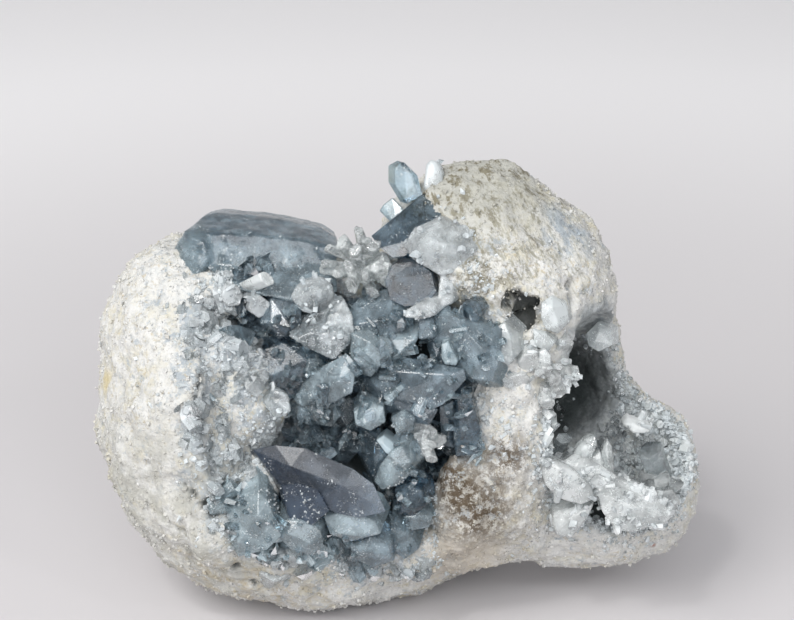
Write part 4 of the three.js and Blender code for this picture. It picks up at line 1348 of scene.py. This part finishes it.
# The crystals' finishes, and their colours where pale, deep and veiled, and of the light let through
blues = (0.66, 0.80, 0.85), (0.10, 0.19, 0.29), (0.38, 0.465, 0.515), (0.33, 0.51, 0.63)
navies = (0.40, 0.48, 0.55), (0.028, 0.052, 0.095), (0.22, 0.27, 0.33), (0.22, 0.42, 0.66)
pales = (0.93, 0.96, 0.96), (0.34, 0.44, 0.50), (0.74, 0.78, 0.78), (0.70, 0.80, 0.84)
whites = (0.90, 0.94, 0.95), (0.38, 0.47, 0.53), (0.62, 0.665, 0.685), (0.62, 0.76, 0.81)
brights = (0.93, 0.96, 0.96), (0.38, 0.47, 0.53), (0.73, 0.755, 0.755), (0.75, 0.84, 0.86)
slate = crystal_finish("slate_crystal", *blues, 140, 0.06, 0.55, 0.08, 1.0)
smooth_slate = crystal_finish("smooth_slate_crystal", *blues, 140, 0.06, 0.55, 0.12, 0.2)
navy = crystal_finish("navy_crystal", *navies, 120, 0.22, 0.4, 0.15, 0.8)
clear = crystal_finish("clear_crystal", *pales, 25, 0.14, 0.6, 0.04, 0.6)
frost = crystal_finish("frosted_crystal", *whites, 35, 0.14, 0.6, 0.12, 0.15)
bright = crystal_finish("lip_crystal", *brights, 20, 0.16, 0.55, 0.06, 0.25)
# The large smooth faces mirror their surroundings less.
smooth_shine = 0.22
for finish in (navy, smooth_slate):
    finish.node_tree.nodes["Principled BSDF"].inputs["Specular IOR Level"].default_value = smooth_shine

# The large crystals
front, _ = place_crystals(
    "front_crystals_dressed", FRONT_CRYSTALS, 130, FRONT_BROKEN, swell=1.1, flare=1.4, ridge=0.4)
finish_piece(front, slate, "blue_crystal", "front_crystals")
blade, _ = place_crystals("deep_blue_crystal", {}, 150, BLADE_BROKEN)
blade_depth, lost_at_point = 1.5, 1.1
depths = blade_depth - lost_at_point * smooth(corners_of(blade)[:, 0], -17, -4)
blade.data.attributes["tone"].data.foreach_set("value", depths.astype(np.float32))
finish_piece(blade, navy, "blue_crystal")
side, _ = place_crystals("side_crystals_dressed", SIDE_CRYSTALS, 200, SIDE_BROKEN, flare=1.2, ridge=0.35)
finish_piece(side, clear, "clear_crystal", "side_crystals")
ledge, parts = place_crystals("ledge_crystal_dressed", {}, 300, LEDGE_BROKEN)
fuse_crystals(ledge, parts, voxel_mm=0.5, worn_mm=0.2)
finish_piece(ledge, smooth_slate, "blue_crystal", "ledge_crystal")
crown, _ = place_crystals("crown_crystals_dressed", {}, 400, CROWN_BROKEN)
finish_piece(crown, smooth_slate, "clear_crystal", "crown_crystals")
frosted, parts = place_crystals(
    "frosted_crystals", FROSTED_CRYSTALS, 500, FROSTED_BROKEN, flare=1.1, ridge=0.2)
fuse_crystals(frosted, parts, voxel_mm=0.42, worn_mm=0.2)
finish_piece(frosted, frost, "clear_crystal")
lip, parts = place_crystals("lip_crystals", LIP_CRYSTALS, 600, LIP_BROKEN, flare=1.2, ridge=0.4)
fuse_crystals(lip, parts, voxel_mm=0.36, worn_mm=0.15)
finish_piece(lip, bright, "clear_crystal")
sprays, parts = place_crystals("spray_crystals", spray_rows(), 700)
fuse_crystals(sprays, parts, voxel_mm=0.3, worn_mm=0.04)
finish_piece(sprays, clear, "clear_crystal")

# The small crystals
small = model_small_forms()
grow_druse(rind, small, slate, clear, frost)
chance = np.random.default_rng(8)
grow_shards("front_shards", [front], 500, (small, slate, "blue_crystal"), (2.0, 5.5), 0.15, chance)
crumbs = (small, frost, "clear_crystal")
grow_shards("frosted_shards", [frosted], 140, crumbs, (1.2, 3.5), 0.7, chance)
grow_shards("lip_shards", [lip], 220, (small, bright, "clear_crystal"), (1.5, 4.5), 0.6, chance)
grow_dust("front_dust", [front, blade, frosted, ledge, crown], 30000, crumbs, (0.25, 0.9), chance)
grow_dust("side_dust", [lip], 2500, crumbs, (0.25, 0.8), chance)
